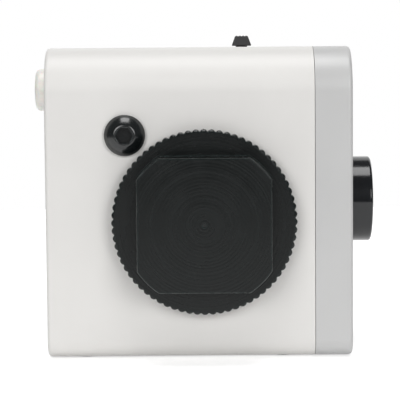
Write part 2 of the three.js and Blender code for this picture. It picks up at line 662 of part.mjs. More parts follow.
function usbInlet() {
  const [back, mouth] = [BOARD.front + BOARD.thickness + GAP, CASE.depth - 0.2];
  const { wall, tongue: half } = USB;
  const tongue = block([-half, back + 0.5, -wall], [half, mouth - 1, wall]);
  const shell = shape([usbSlot(0, back, mouth)], [usbSlot(-wall, back + 1, mouth + beyond)]);
  return shape([shell, tongue]);
}

function mainBoard() {
  const { x, z, width, height, front, thickness } = BOARD;
  const onBoard = (right, up, across, high, tall) =>
    block([x + right, front - tall, z + up], [x + right + across, front + 0.4, z + up + high]);
  const parts = [
    onBoard(5, 4, 7, 7, 1), // processor
    onBoard(16, 5, 5, 5, 1.4), // motor driver
    onBoard(22, 15, 6, 6, 3), // coil
    onBoard(8, 18, 10, 4, 2.4), // battery connector
    onBoard(27, 4, 4, 8, 2.4), // motor connector
  ];
  const plate = block([x, front, z], [x + width, front + thickness, z + height]);
  const holes = boardScrewPlaces.map((place) =>
    at(
      barY(BOARD_SCREW.clearance, front - beyond, front + thickness + beyond, SMALL_ROUND),
      place.x, 0, place.z,
    ),
  );
  return shape([plate, ...parts], holes);
}

function roundedBox(width, depth, height, radius) {
  const outline = new THREE.Shape();
  const [w, h] = [width / 2 - radius, height / 2 - radius];
  outline.absarc(w, h, radius, 0, Math.PI / 2);
  outline.absarc(-w, h, radius, Math.PI / 2, Math.PI);
  outline.absarc(-w, -h, radius, Math.PI, 1.5 * Math.PI);
  outline.absarc(w, -h, radius, 1.5 * Math.PI, 2 * Math.PI);
  return plateY(outline, -depth / 2, depth / 2, 4);
}

// ---- Assembly -----------------------------------------------------------------------
function piece(name, geometry, material, x = 0, y = 0, z = 0) {
  const mesh = new THREE.Mesh(geometry, material);
  mesh.name = name;
  mesh.position.set(x, y, z);
  return mesh;
}

function axisGroup(x, z, ...children) {
  const group = new THREE.Group();
  group.position.set(x, 0, z);
  group.add(...children);
  return group;
}

/** A group whose Y axis points along +X (or -X when `facing` is -1). */
function sideGroup(x, y, z, facing, ...children) {
  const group = new THREE.Group();
  group.position.set(x, y, z);
  group.rotation.z = (-facing * Math.PI) / 2;
  group.add(...children);
  return group;
}

const numbered = (places, make) => places.map((place, i) => make(place, i + 1));

function caseGroup() {
  const { width, depth } = CASE;
  const group = new THREE.Group();
  const baseBush = piece("base_tripod_bush", tripodBush(), BRASS, OUTPUT.x, MID_Y, 0);
  baseBush.rotation.x = Math.PI / 2;
  const backBush = piece("back_tripod_bush", tripodBush(), BRASS, OUTPUT.x, depth, OUTPUT.z);
  backBush.rotation.x = Math.PI;
  group.add(piece("main_shell", mainShell(), WHITE));
  group.add(piece("end_cover", endCover(), GREY));
  group.add(baseBush, backBush);
  numbered(footPlaces, ({ x, y }, n) => {
    const foot = piece(`foot_${n}`, rubberFoot(), RUBBER, x, y, -PROUD.foot);
    foot.rotation.x = Math.PI / 2;
    group.add(foot);
  });
  numbered(coverScrewPlaces, ({ y, z }, n) => {
    const screw = panScrew(COVER_SCREW.shank, COVER_SCREW.head, 1.6, 15);
    const seat = width - COVER_SCREW.sunk + GAP;
    group.add(sideGroup(seat, y, z, 1, piece(`end_cover_screw_${n}`, screw, STEEL)));
  });
  return group;
}

function outputGroup() {
  const { flangeBack } = HOUSING;
  const spacer = ringY(
    BEARING.inner, BEARING.inner + BEARING.race,
    FRONT_BEARING_Y + BEARING.width + GAP, REAR_BEARING_Y - GAP,
  );
  const slipWasher = ringY(SHAFT.radius + GAP, WASHER_RADIUS, GAP - TURNTABLE.back, -GAP);
  const bearing = (label, y) => [
    piece(`${label}_bearing_inner_race`, innerRace(), STEEL, 0, y),
    piece(`${label}_bearing_outer_race`, outerRace(), STEEL, 0, y),
    piece(`${label}_bearing_ball_cage`, ballCage(), STEEL, 0, y),
  ];
  return axisGroup(
    OUTPUT.x, OUTPUT.z,
    piece("turntable", turntable(), BLACK_METAL),
    piece("slip_washer", slipWasher, NYLON),
    piece("output_shaft", outputShaft(), STEEL),
    piece("bearing_spacer", spacer, ALUMINIUM),
    ...bearing("front", FRONT_BEARING_Y),
    ...bearing("rear", REAR_BEARING_Y),
    piece("bearing_housing", bearingHousing(), ALUMINIUM),
    piece("output_gear", outputGear(), STEEL),
    piece("shaft_circlip", circlip(), STEEL),
    piece("motor_bracket", motorBracket(), STEEL),
    ...numbered(housingScrewPlaces, ({ x, z }, n) =>
      piece(`housing_screw_${n}`, panScrew(1.25, 2.3, 1.6, 6.6), STEEL, x, flangeBack + GAP, z),
    ),
    ...numbered(bracketScrewPlaces, ({ x, z }, n) =>
      piece(`bracket_screw_${n}`, panScrew(0.8, 1.6, 1, 6.4), STEEL, x, BRACKET.back + GAP, z),
    ),
  );
}

function motorGroup() {
  return axisGroup(
    motorAxis.x, motorAxis.z,
    piece("motor", motorCan(), STEEL),
    piece("gearbox", gearbox(), BRASS),
    piece("pinion_shaft", pinionShaft(), STEEL),
    piece("drive_pinion", pinion(), BRASS),
    ...numbered(motorScrewPlaces, ({ x, z }, n) =>
      piece(`motor_screw_${n}`, panScrew(1, 1.9, 1, 4.6), STEEL, x, BRACKET.back + GAP, z),
    ),
  );
}

function brakeGroup() {
  const armAngle = Math.atan2(padPlace.z - armAnchor.z, padPlace.x - armAnchor.x);
  const arm = piece("brake_arm", brakeArm(), STEEL, armAnchor.x, 0, armAnchor.z);
  arm.rotation.y = -armAngle;
  const armBack = ARM.front + ARM.thickness;
  const group = new THREE.Group();
  group.add(
    piece("lock_screw", lockScrew(), BLACK_METAL, LOCK.x, 0, LOCK.z),
    piece("lock_screw_insert", lockInsert(), BRASS, LOCK.x, 0, LOCK.z),
    arm,
    piece("brake_pad", brakePad(), NYLON, padPlace.x, 0, padPlace.z),
    piece("brake_arm_screw", panScrew(1.2, 2.3, 1.5, 8), STEEL, armAnchor.x, armBack + GAP, armAnchor.z),
  );
  return group;
}

function controlsGroup() {
  const { width, height } = CASE;
  const group = new THREE.Group();
  group.add(
    sideGroup(
      width, MID_Y, DIAL.z, 1,
      piece("speed_dial", dial(), BLACK_PLASTIC),
      piece("encoder_nut", encoderNut(), BRASS),
      piece("dial_encoder", dialEncoder(), ALUMINIUM),
      piece("encoder_shaft", encoderShaft(), NYLON),
    ),
    sideGroup(
      0, MID_Y, BUTTON.z, -1,
      piece("power_button", pushButton(), WHITE),
      piece("button_switch", buttonSwitch(), BLACK_PLASTIC),
      piece("button_board", buttonBoard(), BOARD_GREEN),
    ),
    piece("slide_switch_cap", slideSwitchCap(), BLACK_PLASTIC, SWITCH.x, MID_Y, height),
    piece("slide_switch_body", slideSwitchBody(), BLACK_PLASTIC, SWITCH.x, MID_Y, height),
  );
  return group;
}

function electricsGroup() {
  const { x, y, z, width, depth, height, round, tapeInset } = BATTERY;
  const [midX, midY, midZ] = [x + width / 2, y + depth / 2, z + height / 2];
  const group = new THREE.Group();
  const tape = block(
    [CASE.wall + GAP, y + tapeInset, z + tapeInset],
    [x - GAP, y + depth - tapeInset, z + height - tapeInset],
  );
  group.add(
    piece("battery", roundedBox(width, depth, height, round), BATTERY_BLUE, midX, midY, midZ),
    piece("battery_tape", tape, NYLON),
    piece("main_board", mainBoard(), BOARD_GREEN),
    piece("usb_inlet", usbInlet(), STEEL, USB.x, 0, USB.z),
    ...numbered(boardScrewPlaces, (place, n) => {
      const screw = piece(`board_screw_${n}`, panScrew(1, 2, 1.4, 5), STEEL);
      screw.position.set(place.x, BOARD.front - GAP, place.z);
      screw.rotation.x = Math.PI;
      return screw;
    }),
  );
  return group;
}

const head = new THREE.Group();
head.position.set(
  -(CASE.width + PROUD.dial - PROUD.button) / 2,
  -(CASE.depth - PROUD.turntable) / 2,
  PROUD.foot,
);
head.add(caseGroup(), outputGroup(), motorGroup(), brakeGroup(), controlsGroup(), electricsGroup());

export default head;
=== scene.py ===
"""Looks of the one-axis camera head: its case, turntable, controls, fastenings and inner drive."""

import math
from types import SimpleNamespace

import bmesh
import bpy
from mathutils import Matrix, Vector


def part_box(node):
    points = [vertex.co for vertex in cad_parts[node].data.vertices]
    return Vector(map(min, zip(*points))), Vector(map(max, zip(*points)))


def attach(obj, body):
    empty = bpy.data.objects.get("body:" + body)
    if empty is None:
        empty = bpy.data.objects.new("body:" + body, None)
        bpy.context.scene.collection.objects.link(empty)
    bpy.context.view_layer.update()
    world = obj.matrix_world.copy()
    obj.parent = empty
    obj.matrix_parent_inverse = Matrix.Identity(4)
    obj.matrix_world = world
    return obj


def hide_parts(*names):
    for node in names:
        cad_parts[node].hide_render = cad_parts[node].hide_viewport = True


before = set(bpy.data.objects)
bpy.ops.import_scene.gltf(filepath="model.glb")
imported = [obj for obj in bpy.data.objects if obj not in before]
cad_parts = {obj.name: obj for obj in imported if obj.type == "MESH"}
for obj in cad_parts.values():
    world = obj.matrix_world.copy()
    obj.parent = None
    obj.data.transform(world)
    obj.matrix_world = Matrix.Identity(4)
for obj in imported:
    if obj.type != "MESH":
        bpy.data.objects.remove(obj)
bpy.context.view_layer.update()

bl_info = {
    "name": "Camera Head Looks",
    "version": (1, 0, 0),
    "blender": (4, 5, 0),
    "location": "View3D > Sidebar > Camera Head",
    "description": "Builds the visible pieces of a motorised camera head around its frame",
    "category": "Object",
}

MM = 0.001
TAU = 2 * math.pi
NEAR = 1e-6  # lengths smaller than this count as nothing


# ---- Places taken from the frame ------------------------------------------------------
def middle(node):
    low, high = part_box(node)
    return (low + high) / 2


def box_size(node):
    low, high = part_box(node)
    return high - low


CASE_LOW, SHELL_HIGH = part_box("main_shell")
COVER_LOW, CASE_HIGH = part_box("end_cover")
FRONT, BACK = CASE_LOW.y, CASE_HIGH.y
AXIS = middle("output_shaft")


# ---- Sizes of small features ----------------------------------------------------------
def sizes(**millimetres):
    """Named sizes, given in millimetres and kept in metres."""
    return SimpleNamespace(**{name: value * MM for name, value in millimetres.items()})


CLEARANCE = 0.3 * MM  # round a fastening in its hole
PAST = 1 * MM  # how far a cutter goes past the face that it opens
BEYOND = 5 * MM  # how far a cutter goes past the whole case
BITE = 1 * MM  # how far a boss goes into the wall that it stands on
LEAST_ROUND = 1 * MM  # inside corners are never sharper than this
SEAM_EASE = 0.08 * MM  # how far each half of the case reaches into the gap at the seam
LONG_EDGE_STEPS, END_EDGE_STEPS, SLOT_END_STEPS = 20, 6, 12

SPINDLE_SEAT = sizes(radius=22, hole=7.5, depth=5)
LOCK_BOSS = sizes(radius=7.5, depth=12, hole=3.35, insert=5.8)
ARM_POST = sizes(radius=3.4, hole=1.5, hole_start=25, hole_end=35)
BUSH_BOSS = sizes(radius=8.5, depth=10)
BOARD_POST = sizes(radius=2.6, hole=1.3, hole_start=49, floor=2)
HOUSING_HOLE = sizes(radius=1.55, start=1.2, end=6)
COVER_BOSS = sizes(radius=4.3, depth=14, hole=1.55, hole_depth=10, short_of_face=2, head=2.4)
DIAL_HOLE = 3.9 * MM
SWITCH_SLOT = sizes(left=5.8, right=1.8, half_width=2)

DISC = sizes(flange=4.2, groove_circle=22, back_circle=20, bore=5.3, bore_mouth=0.3, bore_end=9.3)
RIM_STEPS = ((0.75, 0), (0.45, 0.12), (0.1, 0.45), (0, 0.75))  # mm inwards, mm down
BACK_STEPS = ((0, 0.75), (0.1, 0.45), (0.75, 0))  # mm inwards, mm up
ROOT_STEPS = ((0, 0.25), (0.08, 0.08), (0.25, 0))  # mm outwards, mm up, at the boss's foot
SAMPLES_PER_KNURL = 8
BOSS = sizes(chamfer=0.35, chamfer_start=0.105, face_circle=8, border=2)
DIMPLE = sizes(radius=0.45, depth=0.4, lip=0.08, lip_depth=0.06)
POLE = 0.001 * MM  # radius of the ring that closes a skin on its axis

LOCK_SCREW = sizes(
    head_height=3.3, flat_top=2.75, dome_radius=5.9, side_gap=0.1, side_drop=0.12,
    under_chamfer=0.25, shank=2.95, plain_shank=0.8, tip_chamfer=0.6, tip_length=0.4,
    thread_start=0.5, thread_free=2, pitch=1, groove=0.45, crest=0.45, root=0.95,
    socket=4, socket_depth=2.1, socket_chamfer=0.06,
)
COVER_SCREW = sizes(
    head_height=1.6, shank=1.25, neck=1.2, tip=0.9, tip_length=0.3, top_round=0.45,
    top_drop=0.5, socket=2, socket_depth=0.9, socket_chamfer=0.12,
)
DIAL = sizes(
    edge=0.7, crown=0.35, back_chamfer=0.3, shaft_hole=3.3, face_wall=1.8, hub=6.6,
    hub_recess=2.6, mark_half_width=0.35, mark_depth=0.7,
)
MARK_START, MARK_END = 0.55, 0.85  # parts of the dial's radius
BUTTON = sizes(
    collar=1.4, collar_height=1, collar_gap=0.5, stem=2, stem_chamfer=0.2, edge=1.3, crown=0.3,
)
BUTTON_EDGE_ANGLE = 75
SWITCH_CAP = sizes(
    top=3.3, lift=0.3, edge=0.3, stem_half_x=1.5, stem_half_y=1.6, stem_overlap=1,
    grip_radius=0.22, grip_pitch=0.9, grip_lift=0.05,
)
BUSH = sizes(
    floor=1, major=3.15, minor=2.95, pitch=1.27, first_ring=0.4, ring_land=0.1, mouth=0.45,
    mouth_depth=0.6, plain_end=0.7, chamfer=0.25, band=1.6, waist=2, waist_depth=0.5,
)
FOOT_EDGE, FOOT_DISH = 0.35 * MM, 0.15 * MM
INLET = sizes(
    wall=0.35, floor=1, tongue_half_x=3.1, tongue_half_z=0.35, tongue_back=0.5, tongue_end=1,
)
CROWN_STEPS = 6


# ---- Settings -------------------------------------------------------------------------
def length(name, description, millimetres):
    return bpy.props.FloatProperty(
        name=name, description=description, default=millimetres * MM, unit="LENGTH", precision=5
    )


def colour(name, description, rgb):
    return bpy.props.FloatVectorProperty(
        name=name, description=description, subtype="COLOR", default=rgb, min=0, max=1, size=3
    )


class HeadSettings(bpy.types.PropertyGroup):
    wall: length("Wall", "Thickness of the case's walls", 2.6)
    top_radius: length("Top radius", "Rounding of the case's two upper long edges", 11.5)
    bottom_radius: length("Bottom radius", "Rounding of the case's two lower long edges", 4.5)
    end_radius: length("End radius", "Rounding round the case's two ends", 1)
    seam_round: length("Seam round", "Tiny rounding of moulded edges at seams and holes", 0.2)
    knurl_depth: length("Knurl depth", "Depth of the grooves in the turntable's rim", 0.6)
    knurls: bpy.props.IntProperty(
        name="Knurls", description="Grooves round the turntable's rim", default=72, min=3
    )
    boss_radius: length("Boss radius", "Radius of the boss at its four corners", 20.4)
    boss_flats: length("Boss flats", "Distance between opposite flats of the boss", 33.8)
    white: colour("White", "Case shell and push button", (0.81, 0.797, 0.775))
    grey: colour("Grey", "End cover", (0.575, 0.575, 0.572))
    black: colour("Black", "Anodised turntable", (0.0026, 0.0042, 0.0041))


def settings():
    return bpy.context.scene.head_settings


# ---- Mesh helpers ---------------------------------------------------------------------
def block(low, high):
    """A bmesh box between two corners."""
    bm = bmesh.new()
    bmesh.ops.create_cube(bm, size=1)
    size = Vector(high) - Vector(low)
    bmesh.ops.scale(bm, vec=size, verts=bm.verts)
    bmesh.ops.translate(bm, vec=(Vector(low) + Vector(high)) / 2, verts=bm.verts)
    return bm


def aim(bm, axis, place):
    """Turns a shape made along +Z to run along `axis`, and moves it to `place`."""
    turn = Vector((0, 0, 1)).rotation_difference(Vector(axis)).to_matrix()
    bmesh.ops.rotate(bm, cent=(0, 0, 0), matrix=turn, verts=bm.verts)
    bmesh.ops.translate(bm, vec=place, verts=bm.verts)
    return bm


def rod(radius, start, end, sides=64, tip=None):
    """A closed cylinder, or a cone, between two points."""
    start, end = Vector(start), Vector(end)
    bm = bmesh.new()
    bmesh.ops.create_cone(
        bm, cap_ends=True, segments=sides, depth=(end - start).length,
        radius1=radius, radius2=radius if tip is None else tip,
    )
    return aim(bm, end - start, (start + end) / 2)


def tidy(bm, closeness=NEAR):
    bmesh.ops.remove_doubles(bm, verts=bm.verts, dist=closeness)
    bmesh.ops.dissolve_degenerate(bm, edges=bm.edges, dist=closeness)
    bmesh.ops.recalc_face_normals(bm, faces=bm.faces)
    return bm


def arc(centre, radius, start, end, steps=8):
    """Points (across, along) on a round stretch of an outline; the angles are in degrees."""
    angles = [math.radians(start + (end - start) * i / steps) for i in range(steps + 1)]
    return [(centre[0] + radius * math.cos(a), centre[1] + radius * math.sin(a)) for a in angles]


def turned(outline, axis, place, steps=96):
    """Spins an outline of (radius, height) points about `axis` through `place`."""
    bm = bmesh.new()
    verts = [bm.verts.new((radius, 0, height)) for radius, height in outline]
    edges = [bm.edges.new(pair) for pair in zip(verts, verts[1:])]
    if outline[0][0] > 0 and outline[-1][0] > 0:
        edges.append(bm.edges.new((verts[-1], verts[0])))
    bmesh.ops.spin(
        bm, geom=verts + edges, cent=(0, 0, 0), axis=(0, 0, 1), angle=TAU,
        steps=steps, use_merge=True,
    )
    return aim(tidy(bm), axis, place)


def round_edges(bm, edges, radius, segments, clamp=False):
    bmesh.ops.bevel(
        bm, geom=edges, offset=radius, offset_type="OFFSET", segments=segments, profile=0.5,
        affect="EDGES", clamp_overlap=clamp, material=-1,
    )


def dome(radius, height, rise):
    """Points of a shallow dome from just inside `radius` to the axis."""
    steps = [1 - i / CROWN_STEPS for i in range(1, CROWN_STEPS + 1)]
    return [(radius * step, height - rise * step ** 2) for step in steps]


def to_object(bm, name):
    mesh = bpy.data.meshes.new(name)
    bm.to_mesh(mesh)
    bm.free()
    thing = bpy.data.objects.new(name, mesh)
    bpy.context.scene.collection.objects.link(thing)
    return thing


def combine(thing, operation, tools):
    """Joins every tool to `thing`, or cuts it away, and removes the tools."""
    for tool in tools:
        cutter = to_object(tool, "tool")
        step = thing.modifiers.new("step", "BOOLEAN")
        step.operation = operation
        step.solver = "EXACT"
        step.object = cutter
        apply_modifiers(thing)
        remove(cutter)
    return thing


def apply_modifiers(thing):
    bpy.context.view_layer.update()
    evaluated = thing.evaluated_get(bpy.context.evaluated_depsgraph_get())
    mesh = bpy.data.meshes.new_from_object(evaluated)
    old = thing.data
    thing.modifiers.clear()
    thing.data = mesh
    mesh.name = thing.name
    bpy.data.meshes.remove(old)


def place_object(thing, axis, place):
    """Turns and moves the mesh of an object that was made along +Z."""
    bm = bmesh.new()
    bm.from_mesh(thing.data)
    aim(bm, axis, place)
    bm.to_mesh(thing.data)
    bm.free()


def remove(thing):
    mesh = thing.data
    bpy.data.objects.remove(thing)
    bpy.data.meshes.remove(mesh)


ROUNDED_ABOVE = 40  # degrees; edges that turn more than this get the small rounding
FACE_WEIGHT = 90  # how strongly the large faces rule the shading


def finish_piece(thing, material, body, replaced=(), edge=0.0, sharp=35):
    """Gives a piece its shading, its material and its place in the frame."""
    mesh = thing.data
    mesh.polygons.foreach_set("use_smooth", [True] * len(mesh.polygons))
    mesh.set_sharp_from_angle(angle=math.radians(sharp))
    if edge:
        rounding = thing.modifiers.new("Edge rounding", "BEVEL")
        rounding.width = edge
        rounding.segments = 2
        rounding.limit_method = "ANGLE"
        rounding.angle_limit = math.radians(ROUNDED_ABOVE)
        rounding.use_clamp_overlap = True
    normals = thing.modifiers.new("Flat face shading", "WEIGHTED_NORMAL")
    normals.keep_sharp = True
    normals.weight = FACE_WEIGHT
    mesh.materials.clear()
    mesh.materials.append(material)
    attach(thing, body)
    if replaced:
        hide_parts(*replaced)
    return thing


def piece(name, bm, material, body, replaced=(), edge=0.0, sharp=35):
    return finish_piece(to_object(bm, name), material, body, replaced, edge, sharp)


# ---- Shader helpers -------------------------------------------------------------------
class Nodes:
    """A short way to add and link shader nodes in one tree."""

    def __init__(self, tree):
        self.tree = tree

    def add(self, kind, **values):
        node = self.tree.nodes.new(kind)
        for key, value in values.items():
            if hasattr(node, key):
                setattr(node, key, value)
            else:
                self.set(node, key.replace("_", " "), value)
        return node

    def set(self, node, socket, value):
        if isinstance(value, bpy.types.NodeSocket):
            self.tree.links.new(value, node.inputs[socket])
        else:
            node.inputs[socket].default_value = value

    def math(self, operation, a, b=0.0, clamp=False):
        node = self.tree.nodes.new("ShaderNodeMath")
        node.operation = operation
        node.use_clamp = clamp
        self.set(node, 0, a)
        self.set(node, 1, b)
        return node.outputs[0]

    def span(self, value, low, high, to_low=0.0, to_high=1.0):
        node = self.add("ShaderNodeMapRange")
        for socket, number in zip(range(5), (value, low, high, to_low, to_high)):
            self.set(node, socket, number)
        return node.outputs[0]

    def mix(self, factor, a, b):
        node = self.add("ShaderNodeMix", data_type="RGBA")
        self.set(node, 0, factor)
        self.set(node, 6, a)
        self.set(node, 7, b)
        return node.outputs[2]


def new_group(name, inputs, outputs):
    """A shader node group with named float, vector or colour sockets."""
    group = bpy.data.node_groups.new(name, "ShaderNodeTree")
    kinds = {"float": "NodeSocketFloat", "vector": "NodeSocketVector", "colour": "NodeSocketColor"}
    for label, kind, default in inputs:
        socket = group.interface.new_socket(name=label, in_out="INPUT", socket_type=kinds[kind])
        socket.default_value = default
    for label, kind in outputs:
        group.interface.new_socket(name=label, in_out="OUTPUT", socket_type=kinds[kind])
    return group, Nodes(group), group.nodes.new("NodeGroupInput"), group.nodes.new("NodeGroupOutput")


def grain_group():
    """Fine moulded or blasted grain, with slow patches of a slightly different finish."""
    group, n, given, out = new_group(
        "Fine grain",
        [("Size", "float", 0.0004), ("Patch Size", "float", 0.02), ("Position", "vector", (0, 0, 0))],
        [("Height", "float"), ("Patches", "float")],
    )
    scale = n.math("DIVIDE", 1.0, given.outputs["Size"])
    fine = n.add("ShaderNodeTexNoise", Detail=2.0, Roughness=0.6)
    n.set(fine, "Vector", given.outputs["Position"])
    n.set(fine, "Scale", scale)
    slow = n.add("ShaderNodeTexNoise", Detail=3.0, Roughness=0.55)
    n.set(slow, "Vector", given.outputs["Position"])
    n.set(slow, "Scale", n.math("DIVIDE", 1.0, given.outputs["Patch Size"]))
    n.set(out, "Height", fine.outputs[0])
    n.set(out, "Patches", slow.outputs[0])
    return group


def edge_wear_and_highlight_group():
    """A mask that is 1 on rounded edges and 0 on open faces, broken up by noise; it stands for edge
    wear, and where a finish lightens it strongly it is a painted highlight.
    """
    group, n, given, out = new_group(
        "Edge wear and highlight",
        [("Radius", "float", 0.0004), ("Breakup", "float", 0.5), ("Position", "vector", (0, 0, 0))],
        [("Mask", "float")],
    )
    bevel = n.add("ShaderNodeBevel", samples=6)
    n.set(bevel, "Radius", given.outputs["Radius"])
    geometry = n.add("ShaderNodeNewGeometry")
    dot = n.add("ShaderNodeVectorMath", operation="DOT_PRODUCT")
    n.set(dot, 0, bevel.outputs[0])
    n.set(dot, 1, geometry.outputs["Normal"])
    edge = n.span(dot.outputs["Value"], 0.995, 0.9)
    noise = n.add("ShaderNodeTexNoise", Scale=1400.0, Detail=3.0)
    n.set(noise, "Vector", given.outputs["Position"])
    broken = n.span(noise.outputs[0], 0.35, 0.65)
    keep = n.math("SUBTRACT", 1.0, n.math("MULTIPLY", given.outputs["Breakup"], broken))
    n.set(out, "Mask", n.math("MULTIPLY", edge, keep, clamp=True))
    return group


def rings_group():
    """Concentric tool rings about the Y axis through a centre, for turned faces."""
    group, n, given, out = new_group(
        "Turning rings",
        [("Position", "vector", (0, 0, 0)), ("Pitch", "float", 0.0003)],
        [("Height", "float"), ("Bands", "float")],
    )
    parts = n.add("ShaderNodeSeparateXYZ")
    n.set(parts, 0, given.outputs["Position"])
    square = [n.math("MULTIPLY", parts.outputs[i], parts.outputs[i]) for i in (0, 2)]
    radius = n.math("SQRT", n.math("ADD", *square))
    fine = n.math("SINE", n.math("MULTIPLY", n.math("DIVIDE", radius, given.outputs["Pitch"]), TAU))
    line = n.add("ShaderNodeCombineXYZ")
    n.set(line, 0, radius)
    uneven = n.add("ShaderNodeTexNoise", Scale=1600.0, Detail=2.0)
    n.set(uneven, "Vector", line.outputs[0])
    bands = n.add("ShaderNodeTexNoise", Scale=420.0, Detail=3.0, Roughness=0.65)
    n.set(bands, "Vector", line.outputs[0])
    height = n.math("ADD", n.math("MULTIPLY", fine, 0.12), n.math("MULTIPLY", uneven.outputs[0], 1.4))
    n.set(out, "Height", height)
    n.set(out, "Bands", bands.outputs[0])
    return group


def dust_group():
    """Sparse dust specks and faint handling smears."""
    group, n, given, out = new_group(
        "Dust and smears",
        [("Position", "vector", (0, 0, 0)), ("Amount", "float", 0.5)],
        [("Specks", "float"), ("Smears", "float")],
    )
    cells = n.add("ShaderNodeTexVoronoi", Scale=650.0)
    n.set(cells, "Vector", given.outputs["Position"])
    near = n.span(cells.outputs["Distance"], 0.12, 0.02)
    chance = n.add("ShaderNodeTexNoise", Scale=210.0, Detail=1.0)
    n.set(chance, "Vector", given.outputs["Position"])
    rare = n.span(chance.outputs[0], 0.6, 0.72)
    specks = n.math("MULTIPLY", n.math("MULTIPLY", near, rare), given.outputs["Amount"], clamp=True)
    smear = n.add("ShaderNodeTexNoise", Scale=55.0, Detail=4.0, Distortion=0.6)
    n.set(smear, "Vector", given.outputs["Position"])
    faint = n.span(smear.outputs[0], 0.5, 0.75)
    n.set(out, "Specks", specks)
    n.set(out, "Smears", n.math("MULTIPLY", faint, given.outputs["Amount"], clamp=True))
    return group


GROUP_MAKERS = {
    "Fine grain": grain_group,
    "Edge wear and highlight": edge_wear_and_highlight_group,
    "Turning rings": rings_group,
    "Dust and smears": dust_group,
}


class Finish:
    """One material: a Principled shader with helpers for this object's shared effects."""

    def __init__(self, name, base, roughness, metallic=0.0, centre=None, **constants):
        self.material = bpy.data.materials.new(name)
        self.material.use_nodes = True
        self.n = Nodes(self.material.node_tree)
        self.shader = self.material.node_tree.nodes["Principled BSDF"]
        self.shader.inputs["Base Color"].default_value = (*base, 1)
        self.shader.inputs["Roughness"].default_value = roughness
        self.shader.inputs["Metallic"].default_value = metallic
        for label, value in constants.items():
            self.shader.inputs[label.replace("_", " ")].default_value = value
        position = self.n.add("ShaderNodeTexCoord").outputs["Object"]
        if centre is not None:
            mapping = self.n.add("ShaderNodeMapping", vector_type="POINT")
            self.n.set(mapping, "Vector", position)
            mapping.inputs["Location"].default_value = [-c for c in centre]
            position = mapping.outputs[0]
        self.position = position

    def effect(self, name, **values):
        if name not in bpy.data.node_groups:
            GROUP_MAKERS[name]()
        node = self.n.add("ShaderNodeGroup")
        node.node_tree = bpy.data.node_groups[name]
        self.n.set(node, "Position", self.position)
        for label, value in values.items():
            self.n.set(node, label.replace("_", " "), value)
        return node.outputs

    def bump(self, height, depth, normal=None):
        node = self.n.add("ShaderNodeBump", Distance=depth)
        self.n.set(node, "Height", height)
        if normal is not None:
            self.n.set(node, "Normal", normal)
        return node.outputs[0]

    def feed(self, label, value):
        self.n.set(self.shader, label, value)


NOISE = (0.3, 0.7)  # most values of a noise texture lie between these
DUST = (0.45, 0.43, 0.4, 1)


def tint(rgb, factor):
    return (*(min(c * factor, 1) for c in rgb), 1)


def moulded(name, base, roughness, grain=0.00035, depth=0.000012, wear=1.06, dust=0.4, **constants):
    """Moulded or painted plastic: fine orange peel, slow gloss patches, light edges, a little dust."""
    finish = Finish(name, base, roughness, **constants)
    grains = finish.effect("Fine grain", Size=grain, Patch_Size=0.018)
    edges = finish.effect("Edge wear and highlight", Radius=0.0005, Breakup=0.6)
    dusts = finish.effect("Dust and smears", Amount=dust)
    n = finish.n
    shade = n.mix(n.span(grains["Patches"], *NOISE), tint(base, 0.985), tint(base, 1.01))
    shade = n.mix(edges["Mask"], shade, tint(base, wear))
    shade = n.mix(n.math("MULTIPLY", dusts["Specks"], 0.5), shade, DUST)
    finish.feed("Base Color", shade)
    rough = n.span(grains["Patches"], *NOISE, roughness - 0.03, roughness + 0.04)
    finish.feed("Roughness", n.math("ADD", rough, n.math("MULTIPLY", dusts["Smears"], 0.1)))
    finish.feed("Normal", finish.bump(grains["Height"], depth))
    return finish.material


def machined(name, base, roughness, metallic=1.0, centre=(0, 0, 0), pitch=0.0003, depth=0.000006,
             edge=1.5, grain=0.00012, **constants):
    """Turned metal: tool rings about its axis, brighter edges (wear, and at strong edge factors a
    painted highlight) and slightly uneven gloss.
    """
    finish = Finish(name, base, roughness, metallic, centre, **constants)
    rings = finish.effect("Turning rings", Pitch=pitch)
    grains = finish.effect("Fine grain", Size=grain, Patch_Size=0.009)
    edges = finish.effect("Edge wear and highlight", Radius=0.0003, Breakup=0.7)
    n = finish.n
    shade = n.mix(n.span(rings["Bands"], *NOISE), tint(base, 0.86), tint(base, 1.16))
    # Lightens the edges by `edge`: wear at small factors, a painted highlight at large ones such as the
    # turntable's.
    shade = n.mix(edges["Mask"], shade, tint(base, edge))
    finish.feed("Base Color", shade)
    rough = n.span(rings["Bands"], *NOISE, roughness - 0.04, roughness + 0.05)
    patches = n.span(grains["Patches"], *NOISE, -0.03, 0.04)
    finish.feed("Roughness", n.math("ADD", rough, patches))
    ringed = finish.bump(rings["Height"], depth)
    finish.feed("Normal", finish.bump(grains["Height"], depth * 0.6, ringed))
    return finish.material


